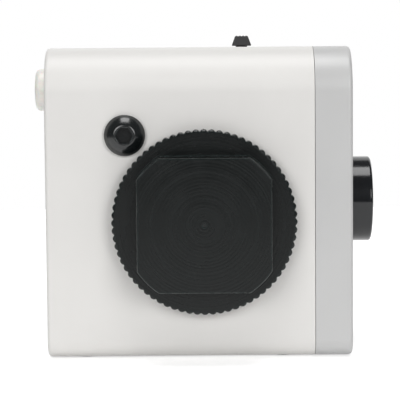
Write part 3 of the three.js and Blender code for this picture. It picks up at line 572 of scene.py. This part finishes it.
def material(name):
    """Each material is made once, the first time that a piece asks for it."""
    made = bpy.data.materials.get(name)
    if made is not None:
        return made
    look = settings()
    white, grey, black = tuple(look.white), tuple(look.grey), tuple(look.black)
    on_axis = (AXIS.x, 0, AXIS.z)
    lock = middle("lock_screw")
    makers = {
        "White case": lambda: moulded(name, white, 0.42, wear=1.05, dust=0.25, Specular_IOR_Level=0.45),
        "White button": lambda: moulded(
            name, (0.93, 0.915, 0.86), 0.32, wear=1.01, dust=0.2, Subsurface_Weight=0.15,
            Subsurface_Scale=0.002,
        ),
        "Grey cover": lambda: moulded(
            name, grey, 0.4, wear=1.08, dust=0.35, Specular_IOR_Level=0.9,
        ),
        # Edge factor 20 paints a light line along the boss's chamfers and the knurls: a painted
        # highlight where the chamfers catch the light.
        "Anodised turntable": lambda: machined(
            name, black, 0.25, 0.0, on_axis, pitch=0.0009, depth=0.00002, edge=20.0,
            grain=0.0002, Specular_IOR_Level=0.3,
        ),
        # Edge factor 6 lightens the rims of the head and its socket: partly wear, partly a painted
        # highlight.
        "Black oxide": lambda: machined(
            name, (0.0055, 0.0072, 0.0076), 0.19, 0.0, (lock.x, 0, lock.z), pitch=0.0004,
            depth=0.000006, edge=6.0, Specular_IOR_Level=0.65,
        ),
        "Gloss black": lambda: moulded(
            name, (0.0095, 0.0105, 0.0125), 0.12, grain=0.0008, depth=0.000003, wear=2.0, dust=0.5,
        ),
        "Black plastic": lambda: moulded(name, (0.02, 0.02, 0.021), 0.45, wear=1.8),
        "Bright steel": lambda: machined(name, (0.56, 0.57, 0.58), 0.3, 1.0, on_axis, edge=1.25),
        "Bare aluminium": lambda: machined(name, (0.70, 0.71, 0.72), 0.36, 1.0, on_axis, edge=1.2),
        "Turned brass": lambda: machined(name, (0.72, 0.53, 0.24), 0.28, 1.0, on_axis, edge=1.2),
        "Rubber": lambda: moulded(
            name, (0.02, 0.02, 0.021), 0.78, grain=0.0003, depth=0.00003, wear=1.5, dust=0.8,
        ),
        "Nylon": lambda: moulded(name, (0.74, 0.71, 0.62), 0.5, wear=1.03, Subsurface_Weight=0.1,
                                 Subsurface_Scale=0.0015),
        "Foam tape": lambda: moulded(
            name, (0.05, 0.05, 0.055), 0.9, grain=0.0006, depth=0.0002, wear=1.2,
        ),
        "Solder mask": lambda: moulded(name, (0.012, 0.13, 0.055), 0.25, grain=0.0009, wear=2.0),
        "Battery film": lambda: moulded(name, (0.03, 0.10, 0.32), 0.22, grain=0.0012, wear=1.6),
    }
    return makers[name]()


# ---- The case -------------------------------------------------------------------------
def case_block(inset=0.0):
    """The whole case as one block: soft upper edges, smaller lower ones, and eased ends."""
    look = settings()
    margin = Vector((inset, inset, inset))
    low, high = CASE_LOW + margin, CASE_HIGH - margin
    bm = block(low, high)
    for level, radius in ((high.z, look.top_radius), (low.z, look.bottom_radius)):
        lengthwise = [
            e for e in bm.edges
            if all(abs(v.co.z - level) < NEAR for v in e.verts)
            and abs(e.verts[0].co.x - e.verts[1].co.x) > NEAR
        ]
        round_edges(bm, lengthwise, max(radius - inset, LEAST_ROUND), LONG_EDGE_STEPS)
    if not inset:
        for end in (low.x, high.x):
            rim = [e for e in bm.edges if all(abs(v.co.x - end) < NEAR for v in e.verts)]
            round_edges(bm, rim, look.end_radius, END_EDGE_STEPS)
    return tidy(bm)


def half_space(from_x, to_x):
    """A cutter that takes away everything between two places along X."""
    return block(
        (from_x, FRONT - BEYOND, CASE_LOW.z - BEYOND), (to_x, BACK + BEYOND, CASE_HIGH.z + BEYOND)
    )


def nodes_like(start):
    return sorted(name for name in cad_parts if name.startswith(start))


X, Y, Z = range(3)


def along(axis, centre, start, end):
    """Two points on a line through `centre` along the X, Y or Z axis."""
    first, last = centre.copy(), centre.copy()
    first[axis], last[axis] = start, end
    return first, last


def rods(rows):
    """Rods through every node of a family: radius, axis, family, start, end, sides."""
    return [
        rod(radius, *along(axis, middle(name), start, end), sides=sides)
        for radius, axis, family, start, end, sides in rows
        for name in nodes_like(family)
    ]


def shell_bosses():
    """Everything that stands inside the shell: seats, posts and screw bosses."""
    wall, right = settings().wall, SHELL_HIGH.x
    inner_front, inner_back = FRONT + wall - BITE, BACK - wall + BITE
    inner_base = CASE_LOW.z + wall - BITE
    arm_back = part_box("brake_arm")[0].y - CLEARANCE
    board_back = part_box("main_board")[1].y + CLEARANCE
    return rods([
        (SPINDLE_SEAT.radius, Y, "output_shaft", inner_front, FRONT + SPINDLE_SEAT.depth, 96),
        (LOCK_BOSS.radius, Y, "lock_screw_insert", inner_front, FRONT + LOCK_BOSS.depth, 64),
        (ARM_POST.radius, Y, "brake_arm_screw", inner_front, arm_back, 32),
        (BUSH_BOSS.radius, Z, "base_tripod_bush", inner_base, CASE_LOW.z + BUSH_BOSS.depth, 64),
        (BUSH_BOSS.radius, Y, "back_tripod_bush", BACK - BUSH_BOSS.depth, inner_back, 64),
        (BOARD_POST.radius, Y, "board_screw_", board_back, inner_back, 32),
        (COVER_BOSS.radius, X, "end_cover_screw_", right - COVER_BOSS.depth, right, 48),
    ])


def shell_holes():
    """Every opening through the shell's walls and bosses."""
    wall, left, right, base = settings().wall, CASE_LOW.x, SHELL_HIGH.x, CASE_LOW.z
    cap = middle("slide_switch_cap")
    button = box_size("power_button").z / 2 - BUTTON.collar + CLEARANCE
    bush = box_size("base_tripod_bush").x / 2 + CLEARANCE
    foot = box_size("foot_1").x / 2 + CLEARANCE
    bush_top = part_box("base_tripod_bush")[1].z + CLEARANCE
    bush_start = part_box("back_tripod_bush")[0].y - CLEARANCE
    foot_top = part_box("foot_1")[1].z + CLEARANCE
    spindle_end = FRONT + SPINDLE_SEAT.depth + PAST
    boss_end = FRONT + LOCK_BOSS.depth + PAST
    board_end = BACK - BOARD_POST.floor
    holes = rods([
        (SPINDLE_SEAT.hole, Y, "output_shaft", FRONT - PAST, spindle_end, 96),
        (LOCK_BOSS.hole, Y, "lock_screw_insert", FRONT - PAST, FRONT + wall + PAST, 64),
        (LOCK_BOSS.insert, Y, "lock_screw_insert", FRONT + wall, boss_end, 64),
        (ARM_POST.hole, Y, "brake_arm_screw", FRONT + ARM_POST.hole_start,
         FRONT + ARM_POST.hole_end, 24),
        (button, X, "power_button", left - PAST, left + wall + PAST, 64),
        (bush, Z, "base_tripod_bush", base - PAST, bush_top, 64),
        (bush, Y, "back_tripod_bush", bush_start, BACK + PAST, 64),
        (foot, Z, "foot_", base - PAST, foot_top, 48),
        (BOARD_POST.hole, Y, "board_screw_", FRONT + BOARD_POST.hole_start, board_end, 24),
        (HOUSING_HOLE.radius, Y, "housing_screw_", FRONT + HOUSING_HOLE.start,
         FRONT + HOUSING_HOLE.end, 24),
        (COVER_BOSS.hole, X, "end_cover_screw_", right - COVER_BOSS.hole_depth, right + PAST, 24),
    ])
    slot = block(
        (cap.x - SWITCH_SLOT.left, cap.y - SWITCH_SLOT.half_width, CASE_HIGH.z - wall - PAST),
        (cap.x + SWITCH_SLOT.right, cap.y + SWITCH_SLOT.half_width, CASE_HIGH.z + PAST),
    )
    return holes + [slot, inlet_slot(CLEARANCE, BACK - wall - PAST, BACK + PAST)]


def inlet_slot(grow, from_y, to_y):
    """A round-ended slot along Y, as big as the inlet's mouth plus `grow`."""
    low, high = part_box("usb_inlet")
    centre = (low + high) / 2
    half_height = (high.z - low.z) / 2 + grow
    half_width = (high.x - low.x) / 2 + grow
    bm = block(
        (centre.x - half_width, from_y, centre.z - half_height),
        (centre.x + half_width, to_y, centre.z + half_height),
    )
    corners = [e for e in bm.edges if abs(e.verts[0].co.y - e.verts[1].co.y) > NEAR]
    almost_round = half_height * 0.999
    round_edges(bm, corners, almost_round, SLOT_END_STEPS)
    return tidy(bm)


def build_shell():
    look = settings()
    shell = to_object(case_block(), "case_shell")
    cavity = case_block(look.wall)
    bmesh.ops.translate(
        cavity, vec=(CASE_HIGH.x - SHELL_HIGH.x + BEYOND, 0, 0),
        verts=[v for v in cavity.verts if v.co.x > AXIS.x],
    )
    combine(shell, "DIFFERENCE", [cavity, half_space(SHELL_HIGH.x + SEAM_EASE, CASE_HIGH.x + BEYOND)])
    combine(shell, "UNION", shell_bosses())
    combine(shell, "DIFFERENCE", shell_holes())
    finish_piece(
        shell, material("White case"), "case", ["main_shell"], look.seam_round
    )


def build_cover():
    look = settings()
    left, right = COVER_LOW.x, CASE_HIGH.x
    screws = "end_cover_screw_"
    cover = to_object(case_block(), "end_cover_shell")
    cavity = case_block(look.wall)
    combine(cover, "DIFFERENCE", [cavity, half_space(CASE_LOW.x - BEYOND, left - SEAM_EASE)])
    pillars = [(COVER_BOSS.radius, X, screws, left, right - COVER_BOSS.short_of_face, 48)]
    combine(cover, "UNION", rods(pillars))
    combine(cover, "DIFFERENCE", rods([
        (COVER_BOSS.hole, X, screws, left - BEYOND, right, 24),
        (COVER_BOSS.head + CLEARANCE, X, screws, right - COVER_BOSS.head, right + BEYOND, 64),
        (DIAL_HOLE, X, "speed_dial", right - BEYOND, right + BEYOND, 64),
    ]))
    finish_piece(
        cover, material("Grey cover"), "case", ["end_cover"], look.seam_round
    )


# ---- The turntable --------------------------------------------------------------------
def ring_stack(rings, steps):
    """A closed skin through rings round +Z. Each ring is (radius at an angle, height)."""
    bm = bmesh.new()
    bmesh.ops.create_circle(bm, cap_ends=False, segments=steps, radius=1)
    angles = {v: math.atan2(v.co.y, v.co.x) for v in bm.verts}

    def shape(radius, height):
        for vert, angle in angles.items():
            reach = radius(angle)
            vert.co = (reach * math.cos(angle), reach * math.sin(angle), height)

    shape(*rings[0])
    edges = list(bm.edges)
    for ring in rings[1:]:
        grown = bmesh.ops.extrude_edge_only(bm, edges=edges)["geom"]
        angles = {
            v: math.atan2(v.co.y, v.co.x) for v in grown if isinstance(v, bmesh.types.BMVert)
        }
        edges = [
            e for e in grown
            if isinstance(e, bmesh.types.BMEdge) and all(v in angles for v in e.verts)
        ]
        shape(*ring)
    return tidy(bm, 1e-7)


def build_turntable():
    look = settings()
    turn_low, turn_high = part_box("turntable")
    face, back = FRONT - turn_low.y, FRONT - turn_high.y
    flange = back + DISC.flange
    rim = (turn_high.x - turn_low.x) / 2

    def plain(radius):
        return lambda angle: radius

    def knurled(angle):
        return rim - look.knurl_depth * (1 - abs(math.cos(look.knurls * angle / 2)))

    def knurled_within(inset):
        return lambda angle: min(knurled(angle), rim - inset)

    def boss(inset):
        def radius(angle):
            flat = look.boss_flats / 2 / max(abs(math.cos(angle)), abs(math.sin(angle)))
            return min(look.boss_radius, flat) - inset
        return radius

    rings = [
        (plain(POLE), face - DIMPLE.depth),
        (plain(DIMPLE.radius), face - DIMPLE.lip_depth),
        (plain(DIMPLE.radius + DIMPLE.lip), face),
        (plain(BOSS.face_circle), face),
        (boss(BOSS.border), face),
        (boss(BOSS.chamfer), face),
        (boss(BOSS.chamfer_start), face - BOSS.chamfer_start),
        (boss(0), face - BOSS.chamfer),
    ]
    rings += [(boss(-out * MM), flange + up * MM) for out, up in ROOT_STEPS]
    rings.append((plain(DISC.groove_circle), flange))
    rings += [(knurled_within(inset * MM), flange - down * MM) for inset, down in RIM_STEPS]
    rings += [(knurled_within(inset * MM), back + up * MM) for inset, up in BACK_STEPS]
    rings += [
        (plain(DISC.back_circle), back),
        (plain(DISC.bore + DISC.bore_mouth), back),
        (plain(DISC.bore), back + DISC.bore_mouth),
        (plain(DISC.bore), DISC.bore_end),
        (plain(POLE), DISC.bore_end),
    ]
    bm = ring_stack(rings, look.knurls * SAMPLES_PER_KNURL)
    bmesh.ops.remove_doubles(bm, verts=bm.verts, dist=4 * POLE)
    bmesh.ops.recalc_face_normals(bm, faces=bm.faces)
    aim(bm, (0, -1, 0), (AXIS.x, FRONT, AXIS.z))
    piece(
        "turntable_disc", bm, material("Anodised turntable"), "turntable",
        ["turntable"], sharp=21,
    )


# ---- Screws ---------------------------------------------------------------------------
def hexagon_socket(across_flats, top, bottom, chamfer):
    """A cutter for a hexagon socket along +Z, with its mouth opened by a short cone."""
    corner = across_flats / math.sqrt(3)
    past = 0.5 * MM
    socket = rod(corner, (0, 0, bottom), (0, 0, top + past), sides=6)
    turn = Matrix.Rotation(math.radians(30), 3, "Z")
    bmesh.ops.rotate(socket, cent=(0, 0, 0), matrix=turn, verts=socket.verts)
    mouth = rod(corner - chamfer, (0, 0, top - chamfer), (0, 0, top + chamfer), 48,
                tip=corner + chamfer)
    return [socket, mouth]


def build_lock_screw():
    size = LOCK_SCREW
    low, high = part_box("lock_screw")
    centre = (low + high) / 2
    head = (high.x - low.x) / 2
    top = FRONT - low.y
    under = top - size.head_height
    tip = FRONT - high.y
    dome_centre = top - math.sqrt(size.dome_radius ** 2 - size.flat_top ** 2)
    start = math.degrees(math.acos((head - size.side_gap) / size.dome_radius))
    end = math.degrees(math.acos(size.flat_top / size.dome_radius))
    side_top = dome_centre + size.dome_radius * math.sin(math.radians(start)) - size.side_drop
    outline = [(0, tip), (size.shank - size.tip_chamfer, tip),
               (size.shank - size.groove, tip + size.tip_length)]
    for i in range(int((under - tip - size.thread_free) / size.pitch)):
        foot = tip + size.thread_start + i * size.pitch
        outline += [(size.shank, foot + size.crest), (size.shank - size.groove, foot + size.root)]
    outline += [(size.shank, under - size.plain_shank), (size.shank, under),
                (head - size.under_chamfer, under), (head, under + size.under_chamfer),
                (head, side_top)]
    outline += arc((0, dome_centre), size.dome_radius, start, end, 14) + [(0, top)]
    thing = to_object(turned(outline, (0, 0, 1), (0, 0, 0), 96), "lock_screw_button_head")
    socket = hexagon_socket(size.socket, top, top - size.socket_depth, size.socket_chamfer)
    combine(thing, "DIFFERENCE", socket)
    place_object(thing, (0, -1, 0), (centre.x, FRONT, centre.z))
    finish_piece(
        thing, material("Black oxide"), "lock_screw", ["lock_screw"],
        0.07 * MM,
    )


def build_cover_screws():
    size = COVER_SCREW
    for name in nodes_like("end_cover_screw_"):
        low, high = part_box(name)
        centre = (low + high) / 2
        top = high.x - low.x
        head = (high.y - low.y) / 2
        under = top - size.head_height
        outline = [(0, 0), (size.tip, 0), (size.neck, size.tip_length), (size.shank, under),
                   (head, under), (head, top - size.top_drop), (head - size.top_round, top), (0, top)]
        thing = to_object(turned(outline, (0, 0, 1), (0, 0, 0), 48), name + "_detailed")
        socket = hexagon_socket(size.socket, top, top - size.socket_depth, size.socket_chamfer)
        combine(thing, "DIFFERENCE", socket)
        place_object(thing, (1, 0, 0), (low.x, centre.y, centre.z))
        finish_piece(thing, material("Black oxide"), "case", [name], 0.05 * MM)


# ---- Controls -------------------------------------------------------------------------
def build_dial():
    low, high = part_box("speed_dial")
    centre = (low + high) / 2
    radius = (high.z - low.z) / 2
    face = high.x - low.x
    shoulder = radius - DIAL.edge
    outline = [(0, face - DIAL.face_wall), (DIAL.shaft_hole, face - DIAL.face_wall),
               (DIAL.shaft_hole, DIAL.hub_recess), (DIAL.hub, DIAL.hub_recess), (DIAL.hub, 0),
               (radius - DIAL.back_chamfer, 0), (radius, DIAL.back_chamfer)]
    outline += arc((shoulder, face - DIAL.crown - DIAL.edge), DIAL.edge, 0, 90, 8)
    outline += dome(shoulder, face, DIAL.crown)
    thing = to_object(turned(outline, (0, 0, 1), (0, 0, 0), 160), "speed_dial_knob")
    mark = block(
        (-DIAL.mark_half_width, radius * MARK_START, face - DIAL.mark_depth),
        (DIAL.mark_half_width, radius * MARK_END, face + PAST),
    )
    combine(thing, "DIFFERENCE", [mark])
    place_object(thing, (1, 0, 0), (low.x, centre.y, centre.z))
    finish_piece(
        thing, material("Gloss black"), "speed_dial", ["speed_dial"],
        0.06 * MM, sharp=30,
    )


def build_button():
    size = BUTTON
    low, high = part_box("power_button")
    centre = (low + high) / 2
    collar = (high.z - low.z) / 2
    radius = collar - size.collar
    top = high.x - low.x
    collar_top = high.x - CASE_LOW.x - settings().wall - size.collar_gap
    collar_foot = collar_top - size.collar_height
    outline = [(0, 0), (size.stem - size.stem_chamfer, 0), (size.stem, size.stem_chamfer),
               (size.stem, collar_foot), (collar, collar_foot), (collar, collar_top),
               (radius, collar_top)]
    corner = (radius - size.edge, top - size.crown - size.edge)
    outline += arc(corner, size.edge, 0, BUTTON_EDGE_ANGLE, 8)
    last_radius, last_height = outline[-1]
    outline += dome(last_radius, top, top - last_height)
    bm = turned(outline, (-1, 0, 0), (high.x, centre.y, centre.z), 96)
    piece(
        "power_button_cap", bm, material("White button"), "power_button",
        ["power_button"], 0.08 * MM,
    )


def build_switch_cap():
    size = SWITCH_CAP
    low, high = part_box("slide_switch_cap")
    centre = (low + high) / 2
    foot = CASE_HIGH.z + size.lift
    bm = block((low.x, low.y, foot), (high.x, high.y, high.z))
    for vert in bm.verts:
        if vert.co.z > foot + NEAR:
            vert.co.x = centre.x + math.copysign(size.top / 2, vert.co.x - centre.x)
    round_edges(bm, list(bm.edges), size.edge, 3, clamp=True)
    thing = to_object(tidy(bm), "slide_switch_cap_detailed")
    stem = block((centre.x - size.stem_half_x, centre.y - size.stem_half_y, low.z),
                 (centre.x + size.stem_half_x, centre.y + size.stem_half_y, foot + size.stem_overlap))
    combine(thing, "UNION", [stem])
    level = high.z + size.grip_lift
    across = [centre.x + i * size.grip_pitch for i in (-1, 0, 1)]
    grip = [
        rod(size.grip_radius, (x, low.y - PAST, level), (x, high.y + PAST, level), 16)
        for x in across
    ]
    combine(thing, "DIFFERENCE", grip)
    finish_piece(
        thing, material("Black plastic"), "slide_switch",
        ["slide_switch_cap"], 0.05 * MM,
    )


# ---- Sockets and feet -----------------------------------------------------------------
def tripod_bush_outline(outer, depth):
    """A banded bush with a ringed bore for a quarter inch screw, its mouth at the top."""
    size = BUSH
    outline = [(0, size.floor), (size.minor, size.floor)]
    height = size.floor + size.first_ring
    while height + size.pitch < depth - size.plain_end:
        outline += [(size.minor, height + size.ring_land), (size.major, height + size.pitch / 2),
                    (size.minor, height + size.pitch - size.ring_land)]
        height += size.pitch
    inner = outer - size.waist_depth
    return outline + [
        (size.minor, depth - size.mouth_depth), (size.major + size.mouth, depth),
        (outer - size.chamfer, depth), (outer, depth - size.chamfer), (outer, depth - size.band),
        (inner, depth - size.waist), (inner, size.waist), (outer, size.band), (outer, 0), (0, 0),
    ]


def build_bushes():
    for name, axis_index, facing in (("base_tripod_bush", 2, -1), ("back_tripod_bush", 1, 1)):
        low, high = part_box(name)
        depth = high[axis_index] - low[axis_index]
        outer = (high.x - low.x) / 2
        axis, place = Vector((0, 0, 0)), (low + high) / 2
        axis[axis_index] = facing
        place[axis_index] = low[axis_index] if facing > 0 else high[axis_index]
        bm = turned(tripod_bush_outline(outer, depth), axis, place, 72)
        piece(name + "_detailed", bm, material("Turned brass"), "case", [name])


def build_feet():
    for name in nodes_like("foot_"):
        low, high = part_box(name)
        centre = (low + high) / 2
        radius, height = (high.x - low.x) / 2, high.z - low.z
        outline = [(0, 0), (radius, 0)]
        outline += arc((radius - FOOT_EDGE, height - FOOT_EDGE), FOOT_EDGE, 0, 90, 5)
        dish = height - FOOT_DISH
        outline += [(radius * 0.55, height), (radius * 0.5, dish), (radius * 0.4, dish),
                    (radius * 0.35, height), (0, height)]
        bm = turned(outline, (0, 0, -1), (centre.x, centre.y, high.z), 48)
        piece(name + "_pad", bm, material("Rubber"), "case", [name])


def build_inlet():
    size = INLET
    low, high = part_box("usb_inlet")
    centre = (low + high) / 2
    thing = to_object(inlet_slot(0, low.y, high.y), "usb_inlet_detailed")
    mouth = inlet_slot(-size.wall, low.y + size.floor, high.y + PAST)
    combine(thing, "DIFFERENCE", [mouth])
    tongue = block(
        (centre.x - size.tongue_half_x, low.y + size.tongue_back, centre.z - size.tongue_half_z),
        (centre.x + size.tongue_half_x, high.y - size.tongue_end, centre.z + size.tongue_half_z),
    )
    combine(thing, "UNION", [tongue])
    finish_piece(thing, material("Bright steel"), "case", ["usb_inlet"], 0.04 * MM)


# ---- Nodes that keep their own shape ---------------------------------------------------
INNER_FINISHES = {
    "Bright steel": (
        "output_shaft", "front_bearing", "rear_bearing", "output_gear", "shaft_circlip",
        "motor_bracket", "housing_screw", "bracket_screw", "motor_screw", "board_screw",
        "brake_arm", "pinion_shaft", "motor",
    ),
    "Bare aluminium": ("bearing_housing", "bearing_spacer", "gearbox"),
    "Turned brass": ("lock_screw_insert", "drive_pinion", "encoder_nut"),
    "Nylon": ("slip_washer", "brake_pad", "encoder_shaft"),
    "Foam tape": ("battery_tape",),
    "Black plastic": ("button_switch", "slide_switch_body", "dial_encoder"),
    "Solder mask": ("main_board", "button_board"),
    "Battery film": ("battery",),
}


def finish_inner_nodes():
    starts = [(start, name) for name, group in INNER_FINISHES.items() for start in group]
    starts.sort(key=lambda pair: len(pair[0]))
    for node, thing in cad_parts.items():
        for start, name in starts:
            if node.startswith(start):
                thing.data.materials.clear()
                thing.data.materials.append(material(name))


# ---- Stage ----------------------------------------------------------------------------
FLOOR_RADIUS = 0.42
FLOOR_LIFT = 0.55  # extra light that only the camera and reflections see, so the floor stays white
AROUND = 0.14  # how bright the studio's walls are to everything but the camera


def floor_material():
    finish = Finish("Pale floor", (0.86, 0.86, 0.86), 0.6)
    grains = finish.effect("Fine grain", Size=0.002, Patch_Size=0.3)
    n = finish.n
    finish.feed("Base Color", n.mix(grains["Patches"], tint((0.85,) * 3, 1), tint((0.87,) * 3, 1)))
    finish.shader.inputs["Emission Color"].default_value = (1, 1, 1, 1)
    path = n.add("ShaderNodeLightPath")
    seen = n.math("MAXIMUM", path.outputs["Is Camera Ray"], path.outputs["Is Glossy Ray"])
    finish.feed("Emission Strength", n.math("MULTIPLY", seen, FLOOR_LIFT))
    return finish.material


def build_floor():
    bm = bmesh.new()
    bmesh.ops.create_circle(bm, cap_ends=True, segments=96, radius=FLOOR_RADIUS)
    floor = to_object(bm, "studio_floor")
    floor.data.materials.append(floor_material())


def softbox(name, azimuth, elevation, distance, size, watts):
    """An area light aimed at the middle of the case; azimuth 0 is in front of it."""
    centre = (CASE_LOW + CASE_HIGH) / 2
    turn, lift = math.radians(azimuth), math.radians(elevation)
    out = Vector((math.sin(turn) * math.cos(lift), -math.cos(turn) * math.cos(lift), math.sin(lift)))
    light = bpy.data.lights.new(name, "AREA")
    light.shape = "RECTANGLE"
    light.size, light.size_y = size
    light.energy = watts
    thing = bpy.data.objects.new(name, light)
    bpy.context.scene.collection.objects.link(thing)
    thing.visible_camera = False
    thing.location = centre + out * distance
    thing.rotation_euler = (-out).to_track_quat("-Z", "Y").to_euler()


def build_lights():
    softbox("overhead", azimuth=0, elevation=84, distance=1.2, size=(0.66, 0.62), watts=7.3)
    softbox("front_left", azimuth=-22, elevation=16, distance=1.3, size=(0.6, 0.5), watts=4.7)
    softbox("front_right", azimuth=25, elevation=16, distance=1.3, size=(0.5, 0.5), watts=4.6)
    softbox("back_panel", azimuth=180, elevation=25, distance=1.3, size=(2.4, 1.2), watts=9)
    world = bpy.data.worlds.new("Studio")
    bpy.context.scene.world = world
    world.use_nodes = True
    n = Nodes(world.node_tree)
    lighting = world.node_tree.nodes["Background"]
    lighting.inputs["Color"].default_value = (1, 1, 1, 1)
    lighting.inputs["Strength"].default_value = AROUND
    seen = n.add("ShaderNodeBackground")
    seen.inputs["Color"].default_value = (1, 1, 1, 1)
    seen.inputs["Strength"].default_value = 1.0
    path = n.add("ShaderNodeLightPath")
    blend = n.add("ShaderNodeMixShader")
    n.set(blend, 0, path.outputs["Is Camera Ray"])
    n.set(blend, 1, lighting.outputs[0])
    n.set(blend, 2, seen.outputs[0])
    n.set(world.node_tree.nodes["World Output"], "Surface", blend.outputs[0])


EYE_HEIGHT = 79.3 * MM  # above the underside of the case
EYE_DISTANCE = 450 * MM  # in front of the case
EYE_SIDE = 40.9 * MM  # to the right of the case's left face
LOOK_DOWN = math.radians(4.87)
LOOK_SIDE = math.radians(-0.15)
ROLL = math.radians(-0.48)
FOCAL_PER_WIDTH = 1762 / 400


def build_camera():
    data = bpy.data.cameras.new("camera")
    data.sensor_width = 36
    data.lens = data.sensor_width * FOCAL_PER_WIDTH
    data.dof.use_dof = False
    data.clip_start = 0.01
    camera = bpy.data.objects.new("camera", data)
    bpy.context.scene.collection.objects.link(camera)
    bpy.context.scene.camera = camera
    place = Vector((CASE_LOW.x + EYE_SIDE, CASE_LOW.y - EYE_DISTANCE, CASE_LOW.z + EYE_HEIGHT))
    upright = Matrix.Rotation(math.radians(90), 4, "X")
    side = Matrix.Rotation(-LOOK_SIDE, 4, "Z")
    down = Matrix.Rotation(-LOOK_DOWN, 4, "X")
    roll = Matrix.Rotation(-ROLL, 4, "Y")
    camera.matrix_world = Matrix.Translation(place) @ side @ down @ roll @ upright


# ---- Operators ------------------------------------------------------------------------
class HEAD_OT_stage(bpy.types.Operator):
    """Floor, lights and camera"""

    bl_idname = "head.stage"
    bl_label = "Stage"

    def execute(self, context):
        build_camera()
        build_floor()
        build_lights()
        return {"FINISHED"}


class HEAD_OT_case_shell(bpy.types.Operator):
    """White shell with its bosses and openings"""

    bl_idname = "head.case_shell"
    bl_label = "Case shell"

    def execute(self, context):
        build_shell()
        return {"FINISHED"}


class HEAD_OT_end_cover(bpy.types.Operator):
    """Grey cover that closes the shell's right end"""

    bl_idname = "head.end_cover"
    bl_label = "End cover"

    def execute(self, context):
        build_cover()
        return {"FINISHED"}


class HEAD_OT_turntable(bpy.types.Operator):
    """Knurled disc with its square boss"""

    bl_idname = "head.turntable"
    bl_label = "Turntable"

    def execute(self, context):
        build_turntable()
        return {"FINISHED"}


class HEAD_OT_lock_screw(bpy.types.Operator):
    """Button-head hexagon socket screw"""

    bl_idname = "head.lock_screw"
    bl_label = "Lock screw"

    def execute(self, context):
        build_lock_screw()
        return {"FINISHED"}


class HEAD_OT_cover_screws(bpy.types.Operator):
    """Screws of the end cover"""

    bl_idname = "head.cover_screws"
    bl_label = "Cover screws"

    def execute(self, context):
        build_cover_screws()
        return {"FINISHED"}


class HEAD_OT_dial(bpy.types.Operator):
    """Smooth dial on the end cover"""

    bl_idname = "head.dial"
    bl_label = "Speed dial"

    def execute(self, context):
        build_dial()
        return {"FINISHED"}


class HEAD_OT_button(bpy.types.Operator):
    """Round push button"""

    bl_idname = "head.button"
    bl_label = "Power button"

    def execute(self, context):
        build_button()
        return {"FINISHED"}


class HEAD_OT_switch(bpy.types.Operator):
    """Cap of the slide switch"""

    bl_idname = "head.switch"
    bl_label = "Slide switch"

    def execute(self, context):
        build_switch_cap()
        return {"FINISHED"}


class HEAD_OT_sockets(bpy.types.Operator):
    """Brass bushes in the base and the back"""

    bl_idname = "head.sockets"
    bl_label = "Tripod sockets"

    def execute(self, context):
        build_bushes()
        return {"FINISHED"}


class HEAD_OT_feet(bpy.types.Operator):
    """Round rubber feet"""

    bl_idname = "head.feet"
    bl_label = "Feet"

    def execute(self, context):
        build_feet()
        return {"FINISHED"}


class HEAD_OT_inlet(bpy.types.Operator):
    """Metal inlet in the back"""

    bl_idname = "head.inlet"
    bl_label = "Charging inlet"

    def execute(self, context):
        build_inlet()
        return {"FINISHED"}


class HEAD_OT_inner(bpy.types.Operator):
    """Finishes of the bearings, gears and electrics"""

    bl_idname = "head.inner"
    bl_label = "Inner drive"

    def execute(self, context):
        finish_inner_nodes()
        return {"FINISHED"}


OPERATORS = (
    HEAD_OT_stage, HEAD_OT_case_shell, HEAD_OT_end_cover, HEAD_OT_turntable, HEAD_OT_lock_screw,
    HEAD_OT_cover_screws, HEAD_OT_dial, HEAD_OT_button, HEAD_OT_switch, HEAD_OT_sockets,
    HEAD_OT_feet, HEAD_OT_inlet, HEAD_OT_inner,
)


class HEAD_PT_panel(bpy.types.Panel):
    """Lists everything that the add-on builds"""

    bl_label = "Camera Head"
    bl_idname = "HEAD_PT_panel"
    bl_space_type = "VIEW_3D"
    bl_region_type = "UI"
    bl_category = "Camera Head"

    def draw(self, context):
        look = context.scene.head_settings
        for name in HeadSettings.__annotations__:
            self.layout.prop(look, name)
        for tool in OPERATORS:
            self.layout.operator(tool.bl_idname)


def register():
    bpy.utils.register_class(HeadSettings)
    bpy.types.Scene.head_settings = bpy.props.PointerProperty(type=HeadSettings)
    for tool in OPERATORS:
        bpy.utils.register_class(tool)
    bpy.utils.register_class(HEAD_PT_panel)


def unregister():
    bpy.utils.unregister_class(HEAD_PT_panel)
    for tool in reversed(OPERATORS):
        bpy.utils.unregister_class(tool)
    del bpy.types.Scene.head_settings
    bpy.utils.unregister_class(HeadSettings)


def main():
    register()
    bpy.context.scene.view_settings.view_transform = "Standard"
    for tool in OPERATORS:
        getattr(bpy.ops.head, tool.bl_idname.split(".")[1])()


if __name__ == "__main__":
    main()
